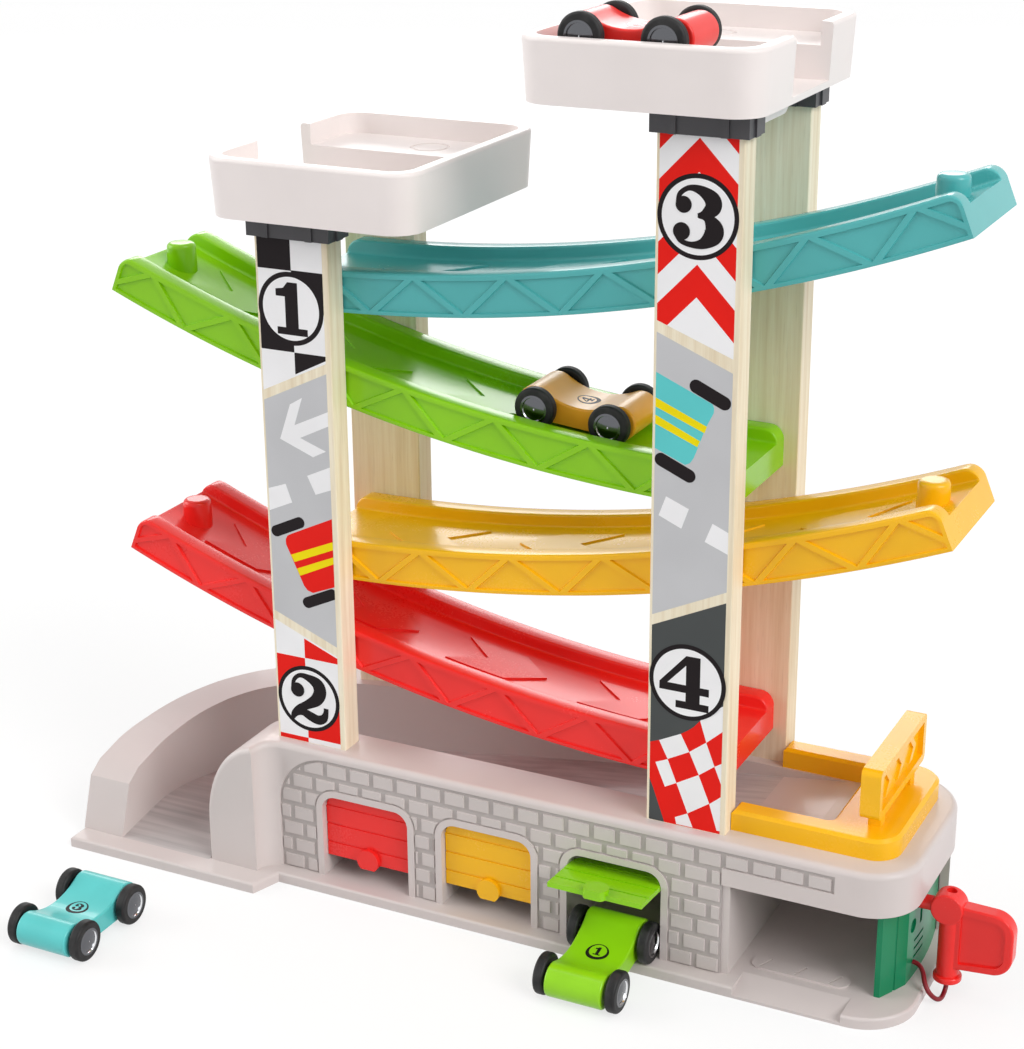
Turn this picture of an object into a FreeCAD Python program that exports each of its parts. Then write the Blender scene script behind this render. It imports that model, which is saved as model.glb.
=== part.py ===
# Toy car ramp: two towers of flat boards carry four curved tracks and two top
# trays over a garage base, with four small cars, three lifting doors and a
# play fuel pump. Millimetres. X runs along the tracks, Y to the back, Z up.
# Everything is drawn about the middle of the towers, and the last step moves
# it so that the origin lies under the middle of the whole toy, on the ground.
import FreeCAD, Part
import math
import os

V = FreeCAD.Vector
os.makedirs("parts", exist_ok=True)

# Driving dimensions

# Tower boards
BOARD_WIDTH = 36.0
BOARD_THICKNESS = 12.0
LANE_WIDTH = 63.0          # clear space between the front and rear boards
TOWER_SPACING = 184.5      # between the middles of the two towers
BOARD_SOCKET = 12.0        # how deep a board stands in the base

# Base
PLATE_HEIGHT = 5.0
DECK_HEIGHT = 68.4
WALL_FRONT = -50.0         # face of the frame round the brickwork
RECESS_DEPTH = 1.5
RIM_RADIUS = 2.6
BRICK_RELIEF = 0.6
BASE_BACK = 48.5
CHANNEL_HALF = 26.0        # half of the width of the run-out channel
PLINTH_FRONT = -57.5
PLINTH_RIGHT = 194.0
APRON_FRONT = -72.0
APRON_LEFT = -213.6
BAY_ROOF = 30.0            # underside of the channel floor over the bays
CHANNEL_TOP = 142.45       # where the channel floor comes level with the deck

# Column at the left end of the garage and the bend of the channel round it
COLUMN_LEFT = -141.25
COLUMN_FRONT = -60.5
COLUMN_RIGHT = -113.0
SHOULDER_RUN = 29.0
SHOULDER_DROP = 42.4
BEND_X = -135.25
BEND_Y = -29.5
BEND_INNER = CHANNEL_HALF - BEND_Y
BEND_OUTER = BASE_BACK - BEND_Y
EXIT_FRONT = -61.2

# Garage bays and doors
BAY_SPACING = 62.0
BAY_WIDTH = 44.6
BAY_TOP = 46.5
BAY_CORNER = 7.0
ARCH_RIM = 3.2
DOOR_GAP = 0.3
DOOR_THICKNESS = 2.2
DOOR_FACE = -46.5          # plane of the closed doors
DOOR_BOTTOM = 14.5
DOOR_AXIS_HEIGHT = 39.3
PIN_RADIUS = 0.9
PIN_LENGTH = 1.8
RUNNING_GAP = 0.05
GREEN_DOOR_OPEN = 95.0     # degrees, as the toy stands in use
TAB_RADIUS = 5.6

# Pump bay at the right end
PUMP_WALL = 111.75
PUMP_WALL_THICKNESS = 3.5
PUMP_ROOF = 48.5
ROOF_RIGHT = 191.75
ROOF_FRONT_RADIUS = 22.0
ROOF_BACK_RADIUS = 30.0
PANEL_THICKNESS = 2.4

# Play nozzle and its hose
NOZZLE_X = ROOF_RIGHT + 8.45
NOZZLE_Y = -14.5
NOZZLE_Z = 42.4
HEAD_RADIUS = 7.0
HEAD_WIDTH = 10.0
HANDLE_X = ROOF_RIGHT + 9.65
GRIP_RADIUS = 4.9
GRIP_BOTTOM = 7.3
FOOT_RADIUS = 6.1
FOOT_HEIGHT = 3.0
SPOUT_RADIUS = 3.2
SPOUT_LENGTH = 17.0
SPOUT_Z = NOZZLE_Z - 0.6
GUARD_REACH = 27.4
GUARD_THICKNESS = 7.6
GUARD_RIM = 3.4
GUARD_POCKET = 1.2
HOSE_RADIUS = 1.05

# Trays
TRAY_INNER_END = 24.75     # nearest the middle of the toy
TRAY_OUTER_END = 125.25
TRAY_RIGHT_SHIFT = -4.0    # the right tray stands this much nearer the middle
TRAY_HALF_WIDTH = 61.0
TRAY_WALL = 5.0
TRAY_CORNER = 13.0
TRAY_HEIGHT = 25.6
TRAY_DRAFT = 1.2
TRAY_FLOOR = 2.7
TRAY_SHELF = 16.2          # height of the parking shelves above the underside
SHELF_FRONT_EDGE = -15.5
SHELF_BACK_EDGE = 21.5
LEFT_TRAY_Z = DECK_HEIGHT + 246.1
RIGHT_TRAY_Z = DECK_HEIGHT + 303.9
CAP_HEIGHT = 9.8
CAP_ROOF = 2.0
CAP_WALL = 2.3

# Tracks
TRACK_RADIUS = 774.0       # bottom edge of the curved track
TRACK_HEIGHT = 18.3
TRACK_FLOOR = 12.0         # running surface above the bottom edge
TRACK_WALL = 9.0
TRACK_FLAT = 101.35        # where the track runs level, from the middle
TRACK_LOW_ANGLE = -0.18
TRACK_HIGH_ANGLE = 22.57
TRACK_CORNER = 6.0
TRUSS_COUNT = 7
TRUSS_DEPTH = 0.6
TRUSS_BAR = 2.2
ARROW_RELIEF = 0.4
ARROW_HALF = 12.5
PEG_ANGLE = 21.55
TRACK_HEIGHTS = {"teal": DECK_HEIGHT + 202.6, "green": DECK_HEIGHT + 140.6,
                 "yellow": DECK_HEIGHT + 79.2, "red": DECK_HEIGHT + 15.8}

# Fence and sign on the deck
FENCE_HEIGHT = 9.3
FENCE_ARM = 10.5
FENCE_HALF_WIDTH = 37.5
FENCE_LEFT = 110.55
FENCE_BAR_LEFT = 151.75
FENCE_RIGHT = 181.75
SIGN_LEFT = 164.75
SIGN_THICKNESS = 8.5
SIGN_FRONT = -33.0
SIGN_BACK = 32.0
SIGN_RISE = 15.6           # underside above the deck
SIGN_HEIGHT = 22.5
SIGN_RIM = 3.5

# Cars
WHEEL_RADIUS = 9.2
WHEELBASE = 34.3
WHEEL_TRACK = 33.2         # between the middles of the two tyres
TYRE_WIDTH = 4.8
HUB_RADIUS = 6.1
AXLE_RADIUS = 1.25
CAR_WIDTH = 26.0
CAR_END_RADIUS = 7.6
CAR_END_REACH = 2.6        # centre of the rounded end beyond the axle
CAR_WAIST = 12.0
CAR_BELLY = 3.2

# From the middle of the towers to the point under the middle of the toy
ORIGIN_X = -7.475
ORIGIN_Y = -50.163


# Small helpers

def box(x0, x1, y0, y1, z0, z1):
    return Part.makeBox(x1 - x0, y1 - y0, z1 - z0, V(x0, y0, z0))


def line(a, b):
    return Part.LineSegment(a, b).toShape()


def arc(a, middle, b):
    return Part.Arc(a, middle, b).toShape()


def prism(edges, direction):
    return Part.Face(Part.Wire(edges)).extrude(direction)


def polygon(points):
    return Part.Face(Part.makePolygon(points + [points[0]]))


def fuse(shapes):
    return shapes[0].fuse(shapes[1:]) if len(shapes) > 1 else shapes[0]


def rounded_plan(x0, x1, y0, y1, z, radii):
    """Wire of a rectangle; radii run front-left, front-right, back-right, back-left."""
    corners = [(x0, y0, 1, 1), (x1, y0, -1, 1), (x1, y1, -1, -1), (x0, y1, 1, -1)]
    ends = []
    for (x, y, sx, sy), r in zip(corners, radii):
        along_x = V(x + sx * r, y, z)
        along_y = V(x, y + sy * r, z)
        middle = V(x + sx * r * (1 - math.sqrt(0.5)), y + sy * r * (1 - math.sqrt(0.5)), z)
        first, last = (along_y, along_x) if sx * sy > 0 else (along_x, along_y)
        ends.append((first, middle, last, r))
    edges = []
    for i, (first, middle, last, r) in enumerate(ends):
        if r > 0:
            edges.append(arc(first, middle, last))
        edges.append(line(last, ends[(i + 1) % 4][0]))
    return Part.Wire(edges)


def rounded_block(x0, x1, y0, y1, z0, z1, radius):
    wire = rounded_plan(x0, x1, y0, y1, z0, [radius] * 4)
    return Part.Face(wire).extrude(V(0, 0, z1 - z0))


def edges_at_height(shape, z, tolerance=0.01):
    found = []
    for edge in shape.Edges:
        bounds = edge.BoundBox
        if abs(bounds.ZMin - z) < tolerance and abs(bounds.ZMax - z) < tolerance:
            found.append(edge)
    return found


def mirrored(shape):
    return shape.mirror(V(0, 0, 0), V(1, 0, 0))


# Tower boards and their caps

TOWER_HALF = TOWER_SPACING / 2
BOARD_INNER = LANE_WIDTH / 2
BOARD_OUTER = BOARD_INNER + BOARD_THICKNESS
BOARD_FOOT = DECK_HEIGHT - BOARD_SOCKET


def board(side, row, tray_z):
    y0 = BOARD_INNER if row > 0 else -BOARD_OUTER
    x0 = side * TOWER_HALF - BOARD_WIDTH / 2
    solid = box(x0, x0 + BOARD_WIDTH, y0, y0 + BOARD_THICKNESS, BOARD_FOOT, tray_z - CAP_ROOF)
    upright = [e for e in solid.Edges if abs(e.tangentAt(e.FirstParameter).z) > 0.99]
    return solid.makeFillet(0.6, upright)


def board_sockets():
    cuts = []
    for side in (-1, 1):
        for y0 in (-BOARD_OUTER, BOARD_INNER):
            x0 = side * TOWER_HALF - BOARD_WIDTH / 2
            cuts.append(box(x0, x0 + BOARD_WIDTH, y0, y0 + BOARD_THICKNESS,
                            BOARD_FOOT, DECK_HEIGHT + 20))
    return fuse(cuts)


def cap(side, row, tray_z):
    """Collar that slips over the board's top and carries the tray."""
    middle_x = side * TOWER_HALF
    middle_y = row * (BOARD_INNER + BOARD_OUTER) / 2
    half_x = BOARD_WIDTH / 2 + CAP_WALL
    half_y = BOARD_THICKNESS / 2 + CAP_WALL
    bottom = tray_z - CAP_HEIGHT
    body = box(-half_x, half_x, -half_y, half_y, bottom, tray_z)
    ribs = []
    for x in (-half_x * 0.53, half_x * 0.53):
        ribs.append(box(x - 1.6, x + 1.6, -half_y - 0.8, half_y + 0.8, bottom, tray_z))
    ribs.append(box(-half_x - 0.8, half_x + 0.8, -2.4, 2.4, bottom, tray_z))
    pocket = box(-BOARD_WIDTH / 2, BOARD_WIDTH / 2, -BOARD_THICKNESS / 2,
                 BOARD_THICKNESS / 2, bottom, tray_z - CAP_ROOF)
    solid = fuse([body] + ribs).removeSplitter().cut(pocket)
    return solid.translated(V(middle_x, middle_y, 0))


# Trays

def tray(bottom, shift):
    """Left tray: open at its outer end, with a lane between two parking shelves."""
    x0 = -TRAY_OUTER_END
    x1 = -TRAY_INNER_END
    half = TRAY_HALF_WIDTH
    top = bottom + TRAY_HEIGHT
    floor = bottom + TRAY_FLOOR
    shelf = bottom + TRAY_SHELF
    d = TRAY_DRAFT
    low = rounded_plan(x0 + d, x1 - d, -half + d, half - d, bottom, [TRAY_CORNER] * 4)
    high = rounded_plan(x0, x1, -half, half, top, [TRAY_CORNER] * 4)
    outer = Part.makeLoft([low, high], True, True)
    outer = outer.makeFillet(1.6, edges_at_height(outer, top))
    inner_corner = TRAY_CORNER - TRAY_WALL + 2
    inside = rounded_block(x0 + TRAY_WALL, x1 - TRAY_WALL, -half + TRAY_WALL,
                           half - TRAY_WALL, shelf, top + 1, inner_corner)
    shell = outer.cut(inside)
    lane = box(x0 + TRAY_WALL - 0.5, x1 - TRAY_WALL, SHELF_FRONT_EDGE, SHELF_BACK_EDGE,
               floor, top + 1)
    notch = box(x0 - 1, x0 + TRAY_WALL + 6, -SHELF_BACK_EDGE, SHELF_BACK_EDGE,
                floor, top + 1)
    shell = shell.cut(fuse([lane, notch]))
    ring_x = x0 * 0.55
    ring_y = (SHELF_BACK_EDGE + half - TRAY_WALL) / 2
    groove = Part.makeCylinder(9.0, 2.0, V(ring_x, ring_y, shelf - 0.5))
    groove = groove.cut(Part.makeCylinder(7.4, 2.0, V(ring_x, ring_y, shelf - 0.5)))
    rib_x = -TOWER_HALF - BOARD_WIDTH / 2 + shift
    rib = box(rib_x, rib_x + 2.6, SHELF_FRONT_EDGE - 8, 4.5, bottom - 7.3, bottom + 0.5)
    rib_end = [e for e in rib.Edges if abs(e.BoundBox.YMin - 4.5) < 0.01
               and e.BoundBox.ZMax < bottom - 7 and e.BoundBox.XLength > 1]
    rib = rib.makeFillet(6.5, rib_end)
    return shell.cut(groove).fuse(rib)


# Tracks

def polar(radius, degrees, y, centre_z):
    angle = math.radians(degrees)
    return V(-TRACK_FLAT + radius * math.sin(angle), y, centre_z - radius * math.cos(angle))


def band(r0, r1, a0, a1, y0, y1, centre_z):
    """Curved bar between two radii and two angles."""
    middle = (a0 + a1) / 2
    edges = [arc(polar(r0, a0, y0, centre_z), polar(r0, middle, y0, centre_z),
                 polar(r0, a1, y0, centre_z)),
             line(polar(r0, a1, y0, centre_z), polar(r1, a1, y0, centre_z)),
             arc(polar(r1, a1, y0, centre_z), polar(r1, middle, y0, centre_z),
                 polar(r1, a0, y0, centre_z)),
             line(polar(r1, a0, y0, centre_z), polar(r0, a0, y0, centre_z))]
    return prism(edges, V(0, y1 - y0, 0))


def truss_recesses(bottom_r, top_r, centre_z, y0, y1):
    """Triangular panels between the bars, point up and point down in turn."""
    low = bottom_r - TRUSS_BAR
    high = top_r + TRUSS_BAR
    first = TRACK_LOW_ANGLE + 0.25
    pitch = (TRACK_HIGH_ANGLE - 0.25 - first) / TRUSS_COUNT
    slope = pitch / 2
    bar = math.degrees(TRUSS_BAR / bottom_r)
    cuts = []
    for i in range(TRUSS_COUNT):
        start = first + i * pitch
        base_in = start + bar
        base_out = start + pitch - bar
        tip = start + slope
        edges = [arc(polar(low, base_in, y0, centre_z), polar(low, tip, y0, centre_z),
                     polar(low, base_out, y0, centre_z)),
                 line(polar(low, base_out, y0, centre_z), polar(high, tip + bar * 0.2, y0, centre_z)),
                 line(polar(high, tip + bar * 0.2, y0, centre_z),
                      polar(high, tip - bar * 0.2, y0, centre_z)),
                 line(polar(high, tip - bar * 0.2, y0, centre_z),
                      polar(low, base_in, y0, centre_z))]
        cuts.append(prism(edges, V(0, y1 - y0, 0)))
        if i == TRUSS_COUNT - 1:
            continue
        left = tip + bar
        right = tip + pitch - bar
        foot = start + pitch
        edges = [arc(polar(high, left, y0, centre_z), polar(high, foot, y0, centre_z),
                     polar(high, right, y0, centre_z)),
                 line(polar(high, right, y0, centre_z), polar(low, foot + bar * 0.2, y0, centre_z)),
                 line(polar(low, foot + bar * 0.2, y0, centre_z),
                      polar(low, foot - bar * 0.2, y0, centre_z)),
                 line(polar(low, foot - bar * 0.2, y0, centre_z),
                      polar(high, left, y0, centre_z))]
        cuts.append(prism(edges, V(0, y1 - y0, 0)))
    return cuts


def arrow(angle, length, half_width, radius, centre_z):
    """Flat arrowhead that points down the slope."""
    tip = polar(radius, angle, 0, centre_z).x
    notch = tip + length * 0.35
    tail = tip + length
    points = [V(tip, 0, 0), V(tail, half_width, 0), V(tail + length * 0.5, half_width, 0),
              V(notch + length * 0.5, 0, 0), V(tail + length * 0.5, -half_width, 0),
              V(tail, -half_width, 0)]
    return polygon(points).extrude(V(0, 0, centre_z))


def track(height):
    """Track that is low at the left; the right-hand ones are its mirror image."""
    centre_z = height + TRACK_RADIUS
    half = LANE_WIDTH / 2
    top_r = TRACK_RADIUS - TRACK_HEIGHT
    floor_r = TRACK_RADIUS - TRACK_FLOOR
    solid = band(TRACK_RADIUS, top_r, TRACK_LOW_ANGLE, TRACK_HIGH_ANGLE, -half, half, centre_z)
    corners = []
    for degrees in (TRACK_LOW_ANGLE, TRACK_HIGH_ANGLE):
        spot = polar(top_r, degrees, 0, centre_z)
        for edge in solid.Edges:
            if edge.BoundBox.YLength > 60 and edge.distToShape(Part.Vertex(spot))[0] < 0.01:
                corners.append(edge)
    solid = solid.makeFillet(TRACK_CORNER, corners)
    trough = band(floor_r, top_r - 5, TRACK_LOW_ANGLE - 1, TRACK_HIGH_ANGLE + 1,
                  -half + TRACK_WALL, half - TRACK_WALL, centre_z)
    solid = solid.cut(trough)
    relief = []
    for y0, y1 in ((-half - 1, -half + TRUSS_DEPTH), (half - TRUSS_DEPTH, half + 1)):
        relief += truss_recesses(TRACK_RADIUS, top_r, centre_z, y0, y1)
    solid = solid.cut(relief)
    skin = band(floor_r + 1, floor_r - ARROW_RELIEF, TRACK_LOW_ANGLE + 0.5,
                TRACK_HIGH_ANGLE - 2.2, -half + TRACK_WALL, half - TRACK_WALL, centre_z)
    arrows = []
    for angle in (2.6, 7.4, 12.2, 17.0):
        arrows.append(skin.common(arrow(angle, 16, ARROW_HALF, floor_r, centre_z)))
    peg_foot = polar(floor_r, PEG_ANGLE, 0, centre_z)
    peg = Part.makeCone(6.8, 5.6, 15.0, peg_foot - V(0, 0, 4.5))
    peg = peg.makeFillet(1.6, edges_at_height(peg, peg_foot.z + 10.5))
    return solid.fuse(arrows + [peg])


# Base: run-out channel

BEND_MIDDLE = BEND_INNER / 2
BEND_LENGTH = BEND_MIDDLE * math.pi / 2
EXIT_LENGTH = BEND_Y - EXIT_FRONT
CHANNEL_LENGTH = EXIT_LENGTH + BEND_LENGTH + CHANNEL_TOP - BEND_X
CHANNEL_CLIMB = DECK_HEIGHT - PLATE_HEIGHT

# How far along the channel, and how much of its climb is done there
FLOOR_CLIMB = [(-1, 0), (0, 0), (0.040, 0.035), (0.091, 0.076), (0.130, 0.110),
               (0.176, 0.180), (0.224, 0.260), (0.295, 0.371), (0.368, 0.489),
               (0.465, 0.588), (0.609, 0.707), (0.765, 0.823), (0.921, 0.940), (1, 1),
               (2, 1.765)]
WALL_CLIMB = [(-1, 0), (0, 0.016), (0.004, 0.189), (0.009, 0.300), (0.019, 0.379),
              (0.042, 0.473), (0.091, 0.536), (0.113, 0.595), (0.133, 0.670),
              (0.147, 0.718), (0.163, 0.770), (0.190, 0.836), (0.226, 0.907),
              (0.300, 0.983), (0.331, 1), (2, 1)]


def climbed(path, shares):
    """Height at a distance back from the exit lip."""
    along = path / CHANNEL_LENGTH
    for (s0, c0), (s1, c1) in zip(shares, shares[1:]):
        if s0 <= along <= s1:
            share = c0 + (c1 - c0) * (along - s0) / (s1 - s0)
            return PLATE_HEIGHT + CHANNEL_CLIMB * share
    return DECK_HEIGHT


def floor_height(path):
    return climbed(path, FLOOR_CLIMB)


def wall_height(path):
    return climbed(path, WALL_CLIMB)


def stations(near, far):
    """Lines across the channel: two points and the distance back from the lip."""
    lines = []
    for s in (-1.0, 0.0, 8.0, 16.0, 24.0):
        y = EXIT_FRONT + s
        lines.append((V(BEND_X - near, y, 0), V(BEND_X - far, y, 0), s))
    for i in range(7):
        angle = math.radians(90 * i / 6)
        way = V(-math.cos(angle), math.sin(angle), 0)
        centre = V(BEND_X, BEND_Y, 0)
        lines.append((centre + way * near, centre + way * far, EXIT_LENGTH + BEND_LENGTH * i / 6))
    for x in (-115, -90, -60, -20, 30, 80, 130, 170):
        s = EXIT_LENGTH + BEND_LENGTH + x - BEND_X
        lines.append((V(x, BEND_Y + near, 0), V(x, BEND_Y + far, 0), s))
    return lines


def cutter_above(near, far, height_at, ceiling=95.0):
    """Solid that fills the space above a surface that climbs along the channel."""
    wires = []
    for inner, outer, s in stations(near, far):
        z = height_at(s)
        wires.append(Part.makePolygon([inner + V(0, 0, z), outer + V(0, 0, z),
                                       outer + V(0, 0, ceiling), inner + V(0, 0, ceiling),
                                       inner + V(0, 0, z)]))
    return Part.makeLoft(wires, True, True)


def bend_plan(radius, height, x_end):
    """Block under the channel: straight exit, quarter disc and straight run."""
    exit_part = box(BEND_X - radius, BEND_X, EXIT_FRONT, BEND_Y, PLATE_HEIGHT, height)
    disc = Part.makeCylinder(radius, height - PLATE_HEIGHT, V(BEND_X, BEND_Y, PLATE_HEIGHT))
    quarter = disc.common(box(BEND_X - 100, BEND_X, BEND_Y, BEND_Y + 100, 0, 100))
    run = box(BEND_X, x_end, BEND_Y, BEND_Y + radius, PLATE_HEIGHT, height)
    return fuse([exit_part, quarter, run]).removeSplitter()


def column_plan():
    """Plan of the garage: round back corner, front foot with a hollow step."""
    back = -CHANNEL_HALF
    step = COLUMN_RIGHT - 2.0
    hollow = WALL_FRONT - COLUMN_FRONT
    inner = 6.0
    half = math.sqrt(0.5)
    edges = [line(V(COLUMN_LEFT, COLUMN_FRONT, 0), V(step, COLUMN_FRONT, 0)),
             arc(V(step, COLUMN_FRONT, 0),
                 V(step + hollow * (1 - half), WALL_FRONT - hollow * (1 - half), 0),
                 V(step + hollow, WALL_FRONT, 0)),
             line(V(step + hollow, WALL_FRONT, 0), V(PUMP_WALL, WALL_FRONT, 0)),
             line(V(PUMP_WALL, WALL_FRONT, 0), V(PUMP_WALL, back, 0)),
             line(V(PUMP_WALL, back, 0), V(COLUMN_LEFT + inner, back, 0)),
             arc(V(COLUMN_LEFT + inner, back, 0),
                 V(COLUMN_LEFT + inner * (1 - half), back - inner * (1 - half), 0),
                 V(COLUMN_LEFT, back - inner, 0)),
             line(V(COLUMN_LEFT, back - inner, 0), V(COLUMN_LEFT, COLUMN_FRONT, 0))]
    return Part.Face(Part.Wire(edges))


def column_profile():
    """Front view of the garage: the left end falls away in a quarter ellipse."""
    y = -100.0
    right = PUMP_WALL
    middle = V(COLUMN_LEFT + SHOULDER_RUN, y, DECK_HEIGHT - SHOULDER_DROP)
    top = middle + V(0, 0, SHOULDER_DROP)
    side = middle - V(SHOULDER_RUN, 0, 0)
    ellipse = Part.Ellipse(top, side, middle)
    ends = sorted([ellipse.parameter(side), ellipse.parameter(top)])
    if ends[1] - ends[0] > math.pi:
        ends = [ends[1], ends[0] + 2 * math.pi]
    curve = Part.ArcOfEllipse(ellipse, ends[0], ends[1]).toShape()
    foot = V(COLUMN_LEFT, y, PLATE_HEIGHT)
    edges = [curve, line(side, foot), line(foot, V(right, y, PLATE_HEIGHT)),
             line(V(right, y, PLATE_HEIGHT), V(right, y, DECK_HEIGHT)),
             line(V(right, y, DECK_HEIGHT), top)]
    return Part.Face(Part.Wire(Part.__sortEdges__(edges)))


def column_block():
    return column_plan().extrude(V(0, 0, 100)).common(column_profile().extrude(V(0, 200, 0)))


def chute_floor():
    """Sloping floor of the channel, solid at the bend and thin over the bays."""
    solid = bend_plan(BEND_INNER, 90, PUMP_WALL)
    solid = solid.cut(cutter_above(0.8, BEND_INNER + 4, floor_height))
    bays = box(-BAY_SPACING - BAY_WIDTH / 2 - 4, PUMP_WALL, -CHANNEL_HALF, CHANNEL_HALF,
               0, BAY_ROOF)
    in_front = box(COLUMN_LEFT, 200, EXIT_FRONT - 2, COLUMN_FRONT + 6, 0, 200)
    return solid.cut([column_plan().extrude(V(0, 0, 100)), in_front, bays])


def chute_wall():
    """Outer wall of the channel: level behind the towers, then down round the bend."""
    solid = bend_plan(BEND_OUTER, DECK_HEIGHT + 5, PUMP_WALL)
    solid = solid.cut(bend_plan(BEND_INNER, DECK_HEIGHT + 10, PUMP_WALL + 5))
    solid = solid.cut(cutter_above(BEND_INNER - 4, BEND_OUTER + 4, wall_height, 120))
    solid = solid.cut(box(BEND_X - 90, BEND_X - 40, EXIT_FRONT - 1, EXIT_FRONT + 0.01, 0, 120))
    return solid.cut(board_sockets())


# Base: garage front with bays, brickwork and pump roof

def arch(centre, width, top, corner, y0, y1):
    """Door opening: straight sides with rounded upper corners."""
    x0 = centre - width / 2
    x1 = centre + width / 2
    half = math.sqrt(0.5)
    z = PLATE_HEIGHT
    edges = [line(V(x0, y0, z), V(x0, y0, top - corner)),
             arc(V(x0, y0, top - corner),
                 V(x0 + corner * (1 - half), y0, top - corner * (1 - half)),
                 V(x0 + corner, y0, top)),
             line(V(x0 + corner, y0, top), V(x1 - corner, y0, top)),
             arc(V(x1 - corner, y0, top),
                 V(x1 - corner * (1 - half), y0, top - corner * (1 - half)),
                 V(x1, y0, top - corner)),
             line(V(x1, y0, top - corner), V(x1, y0, z)),
             line(V(x1, y0, z), V(x0, y0, z))]
    return prism(edges, V(0, y1 - y0, 0))


BAYS = [-BAY_SPACING, 0.0, BAY_SPACING]
WALL_PLANE = WALL_FRONT + RECESS_DEPTH
BRICK_LEFT = -107.0
BRICK_TOP = DECK_HEIGHT - 4.0
LINTEL_LEFT = PUMP_WALL
LINTEL_RIGHT = 161.0
LINTEL_BOTTOM = 56.4


def brick_field(y0, y1, inset=0.0):
    """Recessed field of the front wall: rounded top left, arm over the pump bay."""
    left = BRICK_LEFT + inset
    top = BRICK_TOP - inset
    r = 26.0
    half = math.sqrt(0.5)
    bottom = PLATE_HEIGHT
    right = LINTEL_LEFT - inset
    edges = [line(V(left, y0, bottom), V(left, y0, top - r)),
             arc(V(left, y0, top - r), V(left + r * (1 - half), y0, top - r * (1 - half)),
                 V(left + r, y0, top)),
             line(V(left + r, y0, top), V(LINTEL_RIGHT - inset, y0, top)),
             line(V(LINTEL_RIGHT - inset, y0, top), V(LINTEL_RIGHT - inset, y0, LINTEL_BOTTOM)),
             line(V(LINTEL_RIGHT - inset, y0, LINTEL_BOTTOM), V(right, y0, LINTEL_BOTTOM)),
             line(V(right, y0, LINTEL_BOTTOM), V(right, y0, bottom)),
             line(V(right, y0, bottom), V(left, y0, bottom))]
    return prism(edges, V(0, y1 - y0, 0))


def bricks():
    pitch_z = 7.9
    length = 12.6
    joint = 1.7
    rows = int((BRICK_TOP - PLATE_HEIGHT) // pitch_z) + 1
    found = []
    for row in range(rows):
        z1 = BRICK_TOP - 0.9 - row * pitch_z
        z0 = z1 - pitch_z + joint
        x = BRICK_LEFT - (row % 2) * (length + joint) / 2
        while x < LINTEL_RIGHT:
            found.append(box(x, x + length, WALL_PLANE - BRICK_RELIEF, WALL_PLANE + 1,
                             max(z0, PLATE_HEIGHT), z1))
            x += length + joint
    field = brick_field(WALL_PLANE - 5, WALL_PLANE + 5, 0.9)
    clear = [arch(c, BAY_WIDTH + 2 * ARCH_RIM + 1.6, BAY_TOP + ARCH_RIM + 0.8,
                  BAY_CORNER + ARCH_RIM, WALL_PLANE - 5, WALL_PLANE + 5) for c in BAYS]
    laid = []
    for one in found:
        piece = one.common(field).cut(clear)
        if piece.Volume > 6:
            laid.append(piece)
    return laid


def roof_plan(z0, z1, inset=0.0):
    wire = rounded_plan(PUMP_WALL, ROOF_RIGHT - inset, WALL_FRONT + inset, BASE_BACK - inset, z0,
                        [0, ROOF_FRONT_RADIUS - inset, ROOF_BACK_RADIUS - inset, 0])
    return Part.Face(wire).extrude(V(0, 0, z1 - z0))


def panel_curve(offset, z):
    """Plan line of the pump panel, bowed out towards the right."""
    steps = [(12.75, -38.0), (8.95, -30.3), (5.85, -23.5), (4.75, 3.0), (6.85, 25.0)]
    shifted = [V(ROOF_RIGHT - step - offset, y, z) for step, y in steps]
    return arc(shifted[0], shifted[1], shifted[2]), arc(shifted[2], shifted[3], shifted[4])


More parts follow.
